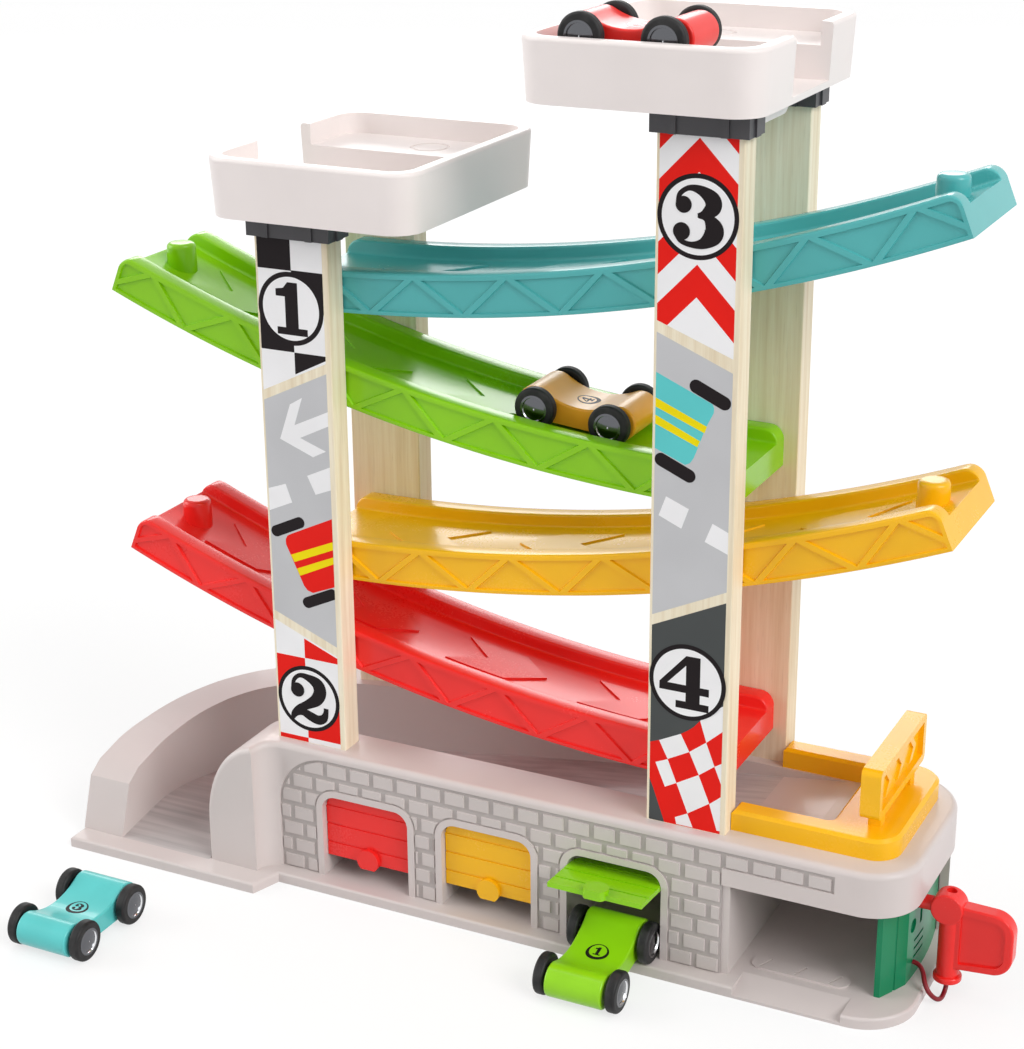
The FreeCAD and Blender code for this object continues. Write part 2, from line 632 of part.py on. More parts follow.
def garage():
    """Front wall with its column, deck strip and the roof over the pump bay."""
    block = column_block()
    rim = [e for e in block.Edges if e.BoundBox.YMax < WALL_FRONT + 0.1
           and e.BoundBox.ZMax > DECK_HEIGHT - 1
           and max(e.BoundBox.XLength, e.BoundBox.YLength) > 1]
    block = block.makeFillet(RIM_RADIUS, rim)
    roof = roof_plan(PUMP_ROOF, DECK_HEIGHT)
    rim = [e for e in edges_at_height(roof, DECK_HEIGHT) if e.BoundBox.XMax > PUMP_WALL + 1]
    roof = roof.makeFillet(RIM_RADIUS, rim)
    wall = box(PUMP_WALL, PUMP_WALL + PUMP_WALL_THICKNESS, WALL_PLANE, BASE_BACK - 0.01,
               PLATE_HEIGHT, PUMP_ROOF + 1)
    back = roof_plan(PLATE_HEIGHT, PUMP_ROOF + 1, 1.5)
    back = back.cut(roof_plan(0, 90, 5.5))
    back = back.common(box(PUMP_WALL, ROOF_RIGHT + 60, CHANNEL_HALF, BASE_BACK + 10, 0, 90))
    solid = fuse([block, roof, wall, back]).removeSplitter()
    solid = solid.cut(brick_field(WALL_FRONT - 20, WALL_PLANE))
    frames = [arch(c, BAY_WIDTH + 2 * ARCH_RIM, BAY_TOP + ARCH_RIM, BAY_CORNER + ARCH_RIM,
                   WALL_FRONT, WALL_PLANE + 1) for c in BAYS]
    solid = solid.fuse(frames + bricks())
    openings = [arch(c, BAY_WIDTH, BAY_TOP, BAY_CORNER, WALL_FRONT - 20, 0) for c in BAYS]
    solid = solid.cut(openings)
    channel = cutter_above(-BEND_Y - CHANNEL_HALF, BEND_INNER, floor_height)
    channel = channel.common(box(PUMP_WALL - 1, 200, -CHANNEL_HALF, CHANNEL_HALF, 0, 200))
    solid = solid.cut(channel)
    door_y = DOOR_FACE + DOOR_THICKNESS / 2
    bores = []
    for c in BAYS:
        reach = BAY_WIDTH / 2 + PIN_LENGTH + 0.3
        bores.append(Part.makeCylinder(PIN_RADIUS + RUNNING_GAP, 2 * reach,
                                       V(c - reach, door_y, DOOR_AXIS_HEIGHT), V(1, 0, 0)))
    return solid.cut(bores + [board_sockets()])


def garage_parts():
    """The garage in two mouldings, which meet in a plane beside the last bay."""
    whole = garage()
    reach = 400.0
    bays_side = box(-reach, PUMP_WALL, -reach, reach, 0, reach)
    pump_side = box(PUMP_WALL, reach, -reach, reach, 0, reach)
    return whole.common(bays_side), whole.common(pump_side)


def base_plate():
    """Flat floor of the toy: plinth, apron in front of the exit, bay dividers."""
    half = math.sqrt(0.5)
    r_out = BEND_OUTER + 0.6
    back = BEND_Y + r_out
    r_front = 24.0
    r_back = 31.0
    notch = COLUMN_RIGHT + 3
    edges = [line(V(APRON_LEFT, APRON_FRONT, 0), V(notch, APRON_FRONT, 0)),
             line(V(notch, APRON_FRONT, 0), V(notch + 5, PLINTH_FRONT, 0)),
             line(V(notch + 5, PLINTH_FRONT, 0), V(PLINTH_RIGHT - r_front, PLINTH_FRONT, 0)),
             arc(V(PLINTH_RIGHT - r_front, PLINTH_FRONT, 0),
                 V(PLINTH_RIGHT - r_front * (1 - half), PLINTH_FRONT + r_front * (1 - half), 0),
                 V(PLINTH_RIGHT, PLINTH_FRONT + r_front, 0)),
             line(V(PLINTH_RIGHT, PLINTH_FRONT + r_front, 0), V(PLINTH_RIGHT, back - r_back, 0)),
             arc(V(PLINTH_RIGHT, back - r_back, 0),
                 V(PLINTH_RIGHT - r_back * (1 - half), back - r_back * (1 - half), 0),
                 V(PLINTH_RIGHT - r_back, back, 0)),
             line(V(PLINTH_RIGHT - r_back, back, 0), V(BEND_X, back, 0)),
             arc(V(BEND_X, back, 0), V(BEND_X - r_out * half, BEND_Y + r_out * half, 0),
                 V(BEND_X - r_out, BEND_Y, 0)),
             line(V(BEND_X - r_out, BEND_Y, 0), V(APRON_LEFT, BEND_Y, 0)),
             line(V(APRON_LEFT, BEND_Y, 0), V(APRON_LEFT, APRON_FRONT, 0))]
    plate = prism(edges, V(0, 0, PLATE_HEIGHT))
    plate = plate.makeFillet(1.2, edges_at_height(plate, PLATE_HEIGHT))
    ramp = polygon([V(120.5, -43.5, PLATE_HEIGHT), V(120.5, PLINTH_FRONT - 1, 1.0),
                    V(120.5, PLINTH_FRONT - 1, 9.0), V(120.5, -43.5, 9.0)])
    plate = plate.cut(ramp.extrude(V(48, 0, 0)))
    walls = []
    gap = BAY_SPACING / 2
    left = BAYS[0] - BAY_WIDTH / 2
    spans = [(left - 4, left), (BAYS[0] + BAY_WIDTH / 2, BAYS[1] - BAY_WIDTH / 2),
             (BAYS[1] + BAY_WIDTH / 2, BAYS[2] - BAY_WIDTH / 2),
             (BAYS[2] + BAY_WIDTH / 2, PUMP_WALL)]
    for x0, x1 in spans:
        walls.append(box(x0, x1, -CHANNEL_HALF, CHANNEL_HALF, PLATE_HEIGHT - 0.01, BAY_ROOF))
    pill = rounded_block(121, 165, -38.5, -29, PLATE_HEIGHT - 0.01, PLATE_HEIGHT + 0.8, 4.7)
    grooves = []
    for x in (127.2, 142.8, 158.6):
        slot = box(-0.5, 0.5, -4, 4, PLATE_HEIGHT + 0.2, PLATE_HEIGHT + 2)
        slot.rotate(V(0, 0, 0), V(0, 0, 1), -25)
        grooves.append(slot.translated(V(x, -33.7, 0)))
    pill = pill.cut(grooves)
    return fuse([plate] + walls + [pill])


# Doors

def door(centre, opening):
    """Roller-look door on two side pins; opening is how far it is swung up."""
    width = BAY_WIDTH - 2 * DOOR_GAP
    y0 = DOOR_FACE
    y1 = y0 + DOOR_THICKNESS
    slab = arch(centre, width, BAY_TOP - DOOR_GAP, BAY_CORNER - DOOR_GAP, y0, y1)
    slab = slab.common(box(centre - 40, centre + 40, y0 - 5, y1 + 5, DOOR_BOTTOM, 60))
    tab = Part.makeCylinder(TAB_RADIUS, DOOR_THICKNESS, V(centre, y0 + 0.2, DOOR_BOTTOM + 2.0),
                            V(0, -1, 0))
    tab = tab.common(box(centre - 10, centre + 10, y0 - 5, y1 + 5, DOOR_BOTTOM - 2.4, 60))
    tab = tab.fuse(tab.translated(V(0, DOOR_THICKNESS - 0.2, 0)))
    grooves = []
    for i in range(3):
        z = DOOR_BOTTOM + 7.1 + 9.4 * i
        grooves.append(box(centre - 40, centre + 40, y0 - 1, y0 + 0.5, z - 0.5, z + 0.5))
    slab = slab.cut(grooves)
    middle = V(0, (y0 + y1) / 2, DOOR_AXIS_HEIGHT)
    reach = width / 2 + PIN_LENGTH
    pins = Part.makeCylinder(PIN_RADIUS, 2 * reach, V(centre - reach, middle.y, middle.z),
                             V(1, 0, 0))
    solid = slab.fuse([tab, pins]).removeSplitter()
    solid.rotate(middle, V(1, 0, 0), -opening)
    return solid


# Fence, sign and pump

def fence():
    """Low U-shaped kerb that catches the cars on the deck."""
    x0 = FENCE_LEFT
    x1 = FENCE_RIGHT
    half = FENCE_HALF_WIDTH
    z0 = DECK_HEIGHT
    z1 = DECK_HEIGHT + FENCE_HEIGHT
    outer = Part.Face(rounded_plan(x0, x1, -half, half, z0, [0, 12, 12, 0]))
    outer = outer.extrude(V(0, 0, FENCE_HEIGHT))
    inside = rounded_plan(x0 - 20, FENCE_BAR_LEFT, -half + FENCE_ARM, half - FENCE_ARM, z0 - 1,
                          [0, 3, 3, 0])
    solid = outer.cut(Part.Face(inside).extrude(V(0, 0, 30)))
    rim = [e for e in edges_at_height(solid, z1)]
    return solid.makeChamfer(1.4, rim)


def sign():
    """Frame on two feet over the fence's cross bar, with three arrows."""
    x0 = SIGN_LEFT
    x1 = SIGN_LEFT + SIGN_THICKNESS
    z0 = DECK_HEIGHT + SIGN_RISE
    z1 = z0 + SIGN_HEIGHT
    rim = SIGN_RIM
    plate = box(x0, x1, SIGN_FRONT, SIGN_BACK, z0, z1)
    ends = [e for e in plate.Edges if e.BoundBox.XLength > 5 and e.BoundBox.YLength < 1]
    plate = plate.makeFillet(3.0, ends)
    recess = box(x1 - 2.5, x1 + 1, SIGN_FRONT + rim, SIGN_BACK - rim, z0 + rim, z1 - rim)
    plate = plate.cut(recess)
    low = z0 + rim + 2.5
    high = z1 - rim - 2.5
    middle = (z0 + z1) / 2
    back = x1 - 2.6
    arrows = []
    for y in (-17.0, 0.0, 17.0):
        shape = polygon([V(back, y - 4, low), V(back, y, low), V(back, y + 5, middle),
                         V(back, y, high), V(back, y - 4, high), V(back, y + 1, middle)])
        arrows.append(shape.extrude(V(1.2, 0, 0)))
    foot = DECK_HEIGHT + FENCE_HEIGHT
    feet = [box(x0 + 1.5, x1 - 1.5, y - 3, y + 3, foot, z0 + 1) for y in (-22.0, 20.0)]
    return plate.fuse(arrows + feet)


def pump_panel():
    """Bowed front of the pump with a slot for the nozzle."""
    z0 = PLATE_HEIGHT
    outer = panel_curve(0, z0)
    inner = panel_curve(PANEL_THICKNESS, z0)
    ends = [line(outer[0].Vertexes[0].Point, inner[0].Vertexes[0].Point),
            line(outer[1].Vertexes[-1].Point, inner[1].Vertexes[-1].Point)]
    wire = Part.Wire(Part.__sortEdges__(list(outer) + list(inner) + ends))
    solid = Part.Face(wire).extrude(V(0, 0, PUMP_ROOF - z0))
    face = ROOF_RIGHT - 4.75
    groove = Part.makeCylinder(0.6, PUMP_ROOF + 9, V(face - 4.1, -30.3, z0 - 1))
    socket = Part.makeCylinder(SPOUT_RADIUS + 0.3, 12, V(face - 7, NOZZLE_Y, SPOUT_Z), V(1, 0, 0))
    slot = box(face - 7, face + 3, NOZZLE_Y + 4.6, NOZZLE_Y + 7.4, 28, 40)
    lines = []
    for z in (14.0, 18.0, 22.0):
        lines.append(box(face - 1.6, face + 1, -16, -4, z, z + 1.2))
    drop = Part.makeCylinder(3.2, 3, V(face - 1.4, -18.0, 31), V(1, 0, 0))
    return solid.cut([groove, socket, slot, drop] + lines)


def guard_outline(y, inset):
    """Guard plate of the nozzle: a loop that rounds off at its two outer corners."""
    left = HANDLE_X + (5.0 if inset else 0.0)
    right = HANDLE_X + GUARD_REACH - inset
    top = NOZZLE_Z + 1.8 - inset
    low = NOZZLE_Z - 26.6 + inset
    r = 9.0 - inset
    half = math.sqrt(0.5)
    upper = V(right - r, y, top - r)
    lower = V(right - r, y, low + r)
    return [line(V(left, y, top + 0.5), V(right - r, y, top)),
            arc(V(right - r, y, top), upper + V(r * half, 0, r * half), V(right, y, top - r)),
            line(V(right, y, top - r), V(right, y, low + r)),
            arc(V(right, y, low + r), lower + V(r * half, 0, -r * half), V(right - r, y, low)),
            line(V(right - r, y, low), V(left, y, low - 1.6)),
            line(V(left, y, low - 1.6), V(left, y, top + 0.5))]


def fuel_gun():
    """Play nozzle: drum head, spout, round grip with a foot and a guard plate."""
    y_middle = NOZZLE_Y
    head = Part.makeCylinder(HEAD_RADIUS, HEAD_WIDTH,
                             V(NOZZLE_X, y_middle - HEAD_WIDTH / 2, NOZZLE_Z), V(0, 1, 0))
    head = head.makeFillet(0.8, [e for e in head.Edges if e.BoundBox.YLength < 0.1])
    hole = Part.makeCylinder(2.2, HEAD_RADIUS, V(NOZZLE_X + 0.5, y_middle + 1, NOZZLE_Z + 2.5))
    grip_foot = GRIP_BOTTOM + 1.7
    grip = Part.makeCylinder(GRIP_RADIUS, NOZZLE_Z - grip_foot, V(HANDLE_X, y_middle, grip_foot))
    foot = Part.makeCylinder(FOOT_RADIUS, FOOT_HEIGHT, V(HANDLE_X, y_middle, GRIP_BOTTOM))
    foot = foot.makeFillet(0.9, [e for e in foot.Edges if e.BoundBox.ZLength < 0.1])
    spout = Part.makeCylinder(SPOUT_RADIUS, SPOUT_LENGTH,
                              V(NOZZLE_X - SPOUT_LENGTH, y_middle, SPOUT_Z), V(1, 0, 0))
    front = y_middle - GUARD_THICKNESS / 2
    guard = prism(guard_outline(front, 0.0), V(0, GUARD_THICKNESS, 0))
    guard = guard.makeFillet(1.0, [e for e in guard.Edges if e.BoundBox.YLength < 0.1
                                   and e.BoundBox.XMax > HANDLE_X + 6])
    solid = head.fuse([grip, foot, spout, guard])
    back = front + GUARD_THICKNESS
    for start in (front - 1, back - GUARD_POCKET):
        pocket = prism(guard_outline(start, GUARD_RIM), V(0, GUARD_POCKET + 1, 0))
        solid = solid.cut(pocket)
    return solid.cut(hole)


HOSE_POINTS = [(ROOF_RIGHT - 4.85, -17.0, 13.0), (ROOF_RIGHT + 1.05, -17.0, 13.0),
               (ROOF_RIGHT + 5.65, -19.6, 1.7), (HANDLE_X, NOZZLE_Y, 2.2),
               (HANDLE_X, NOZZLE_Y, GRIP_BOTTOM)]


def fuel_hose():
    """Thin hose from the panel round under the grip's foot."""
    points = [V(*point) for point in HOSE_POINTS]
    edges = []
    start = points[0]
    for a, b, c in zip(points, points[1:], points[2:]):
        into = (b - a).normalize()
        out = (c - b).normalize()
        turn = into.getAngle(out)
        shorter = min(a.distanceToPoint(b), b.distanceToPoint(c))
        radius = 0.45 * shorter / math.tan(turn / 2)
        reach = 0.45 * shorter
        p = b - into * reach
        q = b + out * reach
        away = (out - into).normalize()
        middle = b + away * (radius / math.cos(turn / 2) - radius)
        edges.append(line(start, p))
        edges.append(arc(p, middle, q))
        start = q
    edges.append(line(start, points[-1]))
    path = Part.Wire(edges)
    section = Part.Wire([Part.makeCircle(HOSE_RADIUS, points[0], points[1] - points[0])])
    return path.makePipeShell([section], True, False)


# Cars, drawn heading along +X with the ground at zero

def car_body():
    """Waisted wooden body: two rounded ends joined by a hollow back."""
    end_x = WHEELBASE / 2 + CAR_END_REACH
    end_z = WHEEL_RADIUS + 0.4
    r = CAR_END_RADIUS
    saddle_z = (end_x ** 2 + end_z ** 2 - (CAR_WAIST - r) ** 2) / (2 * (end_z - CAR_WAIST + r))
    saddle_r = saddle_z - CAR_WAIST
    y = -CAR_WIDTH / 2
    reach = math.hypot(end_x, saddle_z - end_z)
    touch = V(end_x - r * end_x / reach, y, end_z + r * (saddle_z - end_z) / reach)
    drop = math.sqrt(r ** 2 - (end_z - CAR_BELLY) ** 2)
    foot = V(end_x + drop, y, CAR_BELLY)
    nose = V(end_x + r, y, end_z)
    back_touch = V(-touch.x, y, touch.z)
    back_foot = V(-foot.x, y, foot.z)
    back_nose = V(-nose.x, y, nose.z)
    edges = [arc(touch, nose, foot), line(foot, back_foot),
             arc(back_foot, back_nose, back_touch),
             arc(back_touch, V(0, y, CAR_WAIST), touch)]
    solid = prism(edges, V(0, CAR_WIDTH, 0))
    sides = [e for e in solid.Edges if e.BoundBox.YLength < 0.1
             and e.BoundBox.ZMax > CAR_BELLY + 0.1]
    solid = solid.makeFillet(0.9, sides)
    bores = []
    for x in (-WHEELBASE / 2, WHEELBASE / 2):
        bores.append(Part.makeCylinder(AXLE_RADIUS + RUNNING_GAP, 40, V(x, -20, WHEEL_RADIUS),
                                       V(0, 1, 0)))
    return solid.cut(bores)


def axle(x):
    half = WHEEL_TRACK / 2 - 1.0
    return Part.makeCylinder(AXLE_RADIUS, 2 * half, V(x, -half, WHEEL_RADIUS), V(0, 1, 0))


def tyre(x, side):
    """Rubber ring with rounded shoulders, turned about the axle."""
    w = TYRE_WIDTH / 2
    shoulder = 1.3
    r0 = HUB_RADIUS
    r1 = WHEEL_RADIUS
    k = shoulder * (1 - math.sqrt(0.5))
    edges = [line(V(0, -w, r0), V(0, -w, r1 - shoulder)),
             arc(V(0, -w, r1 - shoulder), V(0, -w + k, r1 - k), V(0, -w + shoulder, r1)),
             line(V(0, -w + shoulder, r1), V(0, w - shoulder, r1)),
             arc(V(0, w - shoulder, r1), V(0, w - k, r1 - k), V(0, w, r1 - shoulder)),
             line(V(0, w, r1 - shoulder), V(0, w, r0)),
             line(V(0, w, r0), V(0, -w, r0))]
    ring = Part.Face(Part.Wire(edges)).revolve(V(0, 0, 0), V(0, 1, 0), 360)
    return ring.translated(V(x, side * WHEEL_TRACK / 2, WHEEL_RADIUS))


def hub(x, side):
    """Metal cap pressed in the tyre: raised rim round a slightly domed face."""
    w = TYRE_WIDTH / 2
    r = HUB_RADIUS
    dish = r - 1.2
    rise = 0.5
    sphere = (dish ** 2 + rise ** 2) / (2 * rise)
    half_angle = math.asin(dish / sphere) / 2
    crown = w + 0.1
    face = [(0, -w + 0.4), (r, -w + 0.4), (r, w + 0.2), (r - 0.9, w + 0.2), (dish, crown - rise)]
    points = [V(0, y, z) for z, y in face]
    edges = [line(a, b) for a, b in zip(points, points[1:])]
    middle = V(0, crown - sphere * (1 - math.cos(half_angle)), sphere * math.sin(half_angle))
    edges.append(arc(points[-1], middle, V(0, crown, 0)))
    edges.append(line(V(0, crown, 0), points[0]))
    cap_solid = Part.Face(Part.Wire(edges)).revolve(V(0, 0, 0), V(0, 1, 0), 360)
    end = WHEEL_TRACK / 2 - 1.0
    if side < 0:
        cap_solid.rotate(V(0, 0, 0), V(0, 0, 1), 180)
    cap_solid = cap_solid.translated(V(x, side * WHEEL_TRACK / 2, WHEEL_RADIUS))
    return cap_solid.cut(Part.makeCylinder(AXLE_RADIUS, 2 * end, V(x, -end, WHEEL_RADIUS),
                                           V(0, 1, 0)))


def placed(shape, x, y, z, heading, pitch):
    """Pitch raises the nose; heading turns it from +X; then it is moved into place."""
    copy = shape.copy()
    copy.rotate(V(0, 0, 0), V(0, 1, 0), -pitch)
    copy.rotate(V(0, 0, 0), V(0, 0, 1), heading)
    copy.translate(V(x, y, z))
    return copy


CAR_OVERALL = WHEEL_TRACK + TYRE_WIDTH
GREEN_PITCH = -math.degrees(math.asin(PLATE_HEIGHT / WHEELBASE))
GREEN_FRONT_AXLE = PLINTH_FRONT - 29.7
ORANGE_ANGLE = 5.7
ORANGE_RADIUS = TRACK_RADIUS - TRACK_FLOOR
GREEN_TRACK_CENTRE = TRACK_HEIGHTS["green"] + TRACK_RADIUS


def orange_place():
    """On the green track: both axles at the wheel's radius above the running face."""
    axle_radius = ORANGE_RADIUS - WHEEL_RADIUS
    chord = math.sqrt(axle_radius ** 2 - (WHEELBASE / 2) ** 2)
    angle = math.radians(ORANGE_ANGLE)
    x = TRACK_FLAT - (chord + WHEEL_RADIUS) * math.sin(angle)
    z = GREEN_TRACK_CENTRE - (chord + WHEEL_RADIUS) * math.cos(angle)
    return x, 0.0, z, 0.0, -ORANGE_ANGLE


def green_place():
    """Half out of the right bay: front wheels on the ground, rear wheels on the plinth."""
    pitch = math.radians(-GREEN_PITCH)
    front = GREEN_FRONT_AXLE
    rear = front + WHEELBASE * math.cos(pitch)
    middle_y = (front + rear) / 2
    middle_z = WHEEL_RADIUS + PLATE_HEIGHT / 2
    x = BAYS[2] + 0.3 * (BAY_WIDTH - CAR_OVERALL)
    y = middle_y + WHEEL_RADIUS * math.sin(pitch)
    z = middle_z - WHEEL_RADIUS * math.cos(pitch)
    return x, y, z, -90.0, GREEN_PITCH


CARS = {
    "teal": (-162.6, -133.9, 0.0, -90.0, 0.0),
    "green": green_place(),
    "red": (62.6, -33.6, RIGHT_TRAY_Z + TRAY_SHELF, 0.0, 0.0),
    "orange": orange_place(),
}


# The nodes

def build():
    nodes = {}
    nodes["base_plate"] = base_plate()
    nodes["garage_front"], nodes["pump_house"] = garage_parts()
    nodes["chute_floor"] = chute_floor()
    nodes["chute_wall"] = chute_wall()
    heights = {-1: LEFT_TRAY_Z, 1: RIGHT_TRAY_Z}
    sides = {-1: "left", 1: "right"}
    rows = {-1: "front", 1: "rear"}
    for side in (-1, 1):
        for row in (-1, 1):
            name = rows[row] + "_" + sides[side]
            nodes["board_" + name] = board(side, row, heights[side])
            nodes["cap_" + name] = cap(side, row, heights[side])
    nodes["tray_left"] = tray(LEFT_TRAY_Z, 0.0)
    right = mirrored(tray(RIGHT_TRAY_Z, TRAY_RIGHT_SHIFT))
    nodes["tray_right"] = right.translated(V(TRAY_RIGHT_SHIFT, 0, 0))
    nodes["track_teal"] = track(TRACK_HEIGHTS["teal"])
    nodes["track_green"] = mirrored(track(TRACK_HEIGHTS["green"]))
    nodes["track_yellow"] = track(TRACK_HEIGHTS["yellow"])
    nodes["track_red"] = mirrored(track(TRACK_HEIGHTS["red"]))
    nodes["door_red"] = door(BAYS[0], 0.0)
    nodes["door_yellow"] = door(BAYS[1], 0.0)
    nodes["door_green"] = door(BAYS[2], GREEN_DOOR_OPEN)
    nodes["fence"] = fence()
    nodes["sign"] = sign()
    nodes["pump_panel"] = pump_panel()
    nodes["fuel_gun"] = fuel_gun()
    nodes["fuel_hose"] = fuel_hose()
    body = car_body()
    for name, place in CARS.items():
        nodes["car_" + name + "_body"] = placed(body, *place)
        for end, x in (("front", WHEELBASE / 2), ("rear", -WHEELBASE / 2)):
            start = "car_" + name + "_" + end
            nodes[start + "_axle"] = placed(axle(x), *place)
            pair = Part.Compound([tyre(x, -1), tyre(x, 1)])
            nodes[start + "_tyres"] = placed(pair, *place)
            pair = Part.Compound([hub(x, -1), hub(x, 1)])
            nodes[start + "_hubs"] = placed(pair, *place)
    return nodes


whole = FreeCAD.BoundBox()
for node, shape in build().items():
    shape.translate(V(ORIGIN_X, -ORIGIN_Y, 0))
    whole.add(shape.BoundBox)
    shape.exportStep("parts/" + node + ".step")
    if not shape.isValid():
        print("not valid:", node)
    print(node, len(shape.Solids), round(shape.Volume, 1))
print("box", whole)
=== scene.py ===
# %% [markdown]
# # A toy car ramp, dressed for its portrait
# The CAD model holds the shapes of this toy: the garage base, the boards, the curved
# tracks, the doors and the cars. In this lesson we load it, give every piece a
# finish, mould a few shapes in finer detail, print the boards and set up a soft
# studio. Blender counts in metres and a plan reads better in millimetres, so one
# constant converts them.

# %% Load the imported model
import bpy
import bmesh
import math
from mathutils import Matrix, Vector
from mathutils.geometry import tessellate_polygon


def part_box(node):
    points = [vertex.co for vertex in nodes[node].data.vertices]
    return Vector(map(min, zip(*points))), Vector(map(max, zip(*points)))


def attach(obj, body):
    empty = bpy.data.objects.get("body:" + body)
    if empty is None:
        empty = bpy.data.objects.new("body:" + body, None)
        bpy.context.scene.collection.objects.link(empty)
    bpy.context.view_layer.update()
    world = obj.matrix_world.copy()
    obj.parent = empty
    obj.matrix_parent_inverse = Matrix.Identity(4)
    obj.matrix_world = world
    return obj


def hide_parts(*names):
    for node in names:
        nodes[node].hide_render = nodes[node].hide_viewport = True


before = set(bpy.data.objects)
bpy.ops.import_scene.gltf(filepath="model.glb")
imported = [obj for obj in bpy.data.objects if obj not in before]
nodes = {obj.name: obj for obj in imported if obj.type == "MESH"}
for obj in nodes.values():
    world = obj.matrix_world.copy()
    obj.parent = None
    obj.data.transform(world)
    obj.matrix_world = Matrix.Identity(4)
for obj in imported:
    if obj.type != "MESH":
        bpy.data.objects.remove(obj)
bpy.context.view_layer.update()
MM = 0.001
CAR_COLOURS = ("teal", "green", "red", "orange")
TRACK_COLOURS = ("teal", "green", "yellow", "red")
print("pieces from CAD:", len(nodes))

# %% [markdown]
# Every object that this lesson adds is linked to the scene, rides on one body of the
# toy, and may stand for a CAD node. Two short functions do that. A third turns an
# edited mesh into an object. It can shade smoothly over shallow edges, as rounded
# plastic looks, and keep the real corners sharp.

# %% New objects
def linked(name, data):
    thing = bpy.data.objects.new(name, data)
    bpy.context.scene.collection.objects.link(thing)
    return thing


def carried(piece, body="ramp", stands_for=None):
    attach(piece, body)
    if stands_for:
        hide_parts(stands_for)


def from_bmesh(name, mesh, soft_edge=0):
    """An object from an edited mesh; edges flatter than soft_edge degrees are shaded over."""
    data = bpy.data.meshes.new(name)
    mesh.to_mesh(data)
    mesh.free()
    if soft_edge:
        fixed_normals = data.attributes.get("custom_normal")
        if fixed_normals:
            data.attributes.remove(fixed_normals)
        data.polygons.foreach_set("use_smooth", [True] * len(data.polygons))
        data.set_sharp_from_angle(angle=math.radians(soft_edge))
    return linked(name, data)


# %% [markdown]
# ## The camera
# The photograph was taken from the front right and a little above, with a fairly
# long lens. The camera's rotation is built from three directions, right, up and
# back, which leaves no doubt about roll.

# %% Camera
AZIMUTH = math.radians(26.55)
ELEVATION = math.radians(20.71)
ROLL = math.radians(-0.474)
CAMERA_PLACE = Vector((0.388675, -0.763517, 0.51805))
FOCAL_PIXELS = 2193.1
FRAME_HEIGHT = 1049
SENSOR = 36

forward = Vector((-math.sin(AZIMUTH) * math.cos(ELEVATION),
                  math.cos(AZIMUTH) * math.cos(ELEVATION), -math.sin(ELEVATION)))
level_right = Vector((math.cos(AZIMUTH), math.sin(AZIMUTH), 0))
level_down = forward.cross(level_right)
right = level_right * math.cos(ROLL) - level_down * math.sin(ROLL)
down = level_right * math.sin(ROLL) + level_down * math.cos(ROLL)
camera_data = bpy.data.cameras.new("portrait_camera")
camera_data.lens = FOCAL_PIXELS * SENSOR / FRAME_HEIGHT
camera_data.sensor_width = SENSOR
camera_data.sensor_fit = "AUTO"
camera_data.clip_start = 0.05
camera = linked("portrait_camera", camera_data)
turn = Matrix((right, -down, -forward)).transposed().to_4x4()
camera.matrix_world = Matrix.Translation(CAMERA_PLACE) @ turn
bpy.context.scene.camera = camera
print("lens in mm:", round(camera_data.lens, 2))

# %% [markdown]
# ## Shader maths in plain Python
# A material in Blender is a small graph. This cell wraps a socket in a class whose
# operators add Math nodes, so `noise * 0.2 + 0.4` reads like an ordinary sum.
# Colours never go through those operators, because a Math node would turn them
# grey: they go through `blend`.

# %% A finish and its sockets
BUMP_DEPTH = 0.0001
finishes = {}


class Value:
    """A number that changes over the surface: one socket of the graph."""

    def __init__(self, graph, socket):
        self.graph = graph
        self.socket = socket

    def maths(self, operation, other):
        return self.graph.add("ShaderNodeMath", {0: self, 1: other}, operation=operation)

    def __add__(self, other):
        return self.maths("ADD", other)

    def __mul__(self, other):
        return self.maths("MULTIPLY", other)


class Graph:
    """The nodes of a material or of the world."""

    def __init__(self, tree):
        self.tree = tree

    def add(self, kind, inputs=None, output=0, **settings):
        node = self.tree.nodes.new(kind)
        for key, value in settings.items():
            setattr(node, key, value)
        for key, value in (inputs or {}).items():
            self.put(node.inputs[key], value)
        return Value(self, node.outputs[output])

    def put(self, socket, value):
        if isinstance(value, Value):
            self.tree.links.new(value.socket, socket)
        else:
            socket.default_value = value

    def seen_directly(self):
        """1 for rays from the camera and by way of gloss or clear matter, 0 for the rest."""
        shown = self.add("ShaderNodeLightPath", output="Is Camera Ray")
        for ray in ("Is Glossy Ray", "Is Transmission Ray"):
            shown = shown.maths("MAXIMUM", self.add("ShaderNodeLightPath", output=ray))
        return shown


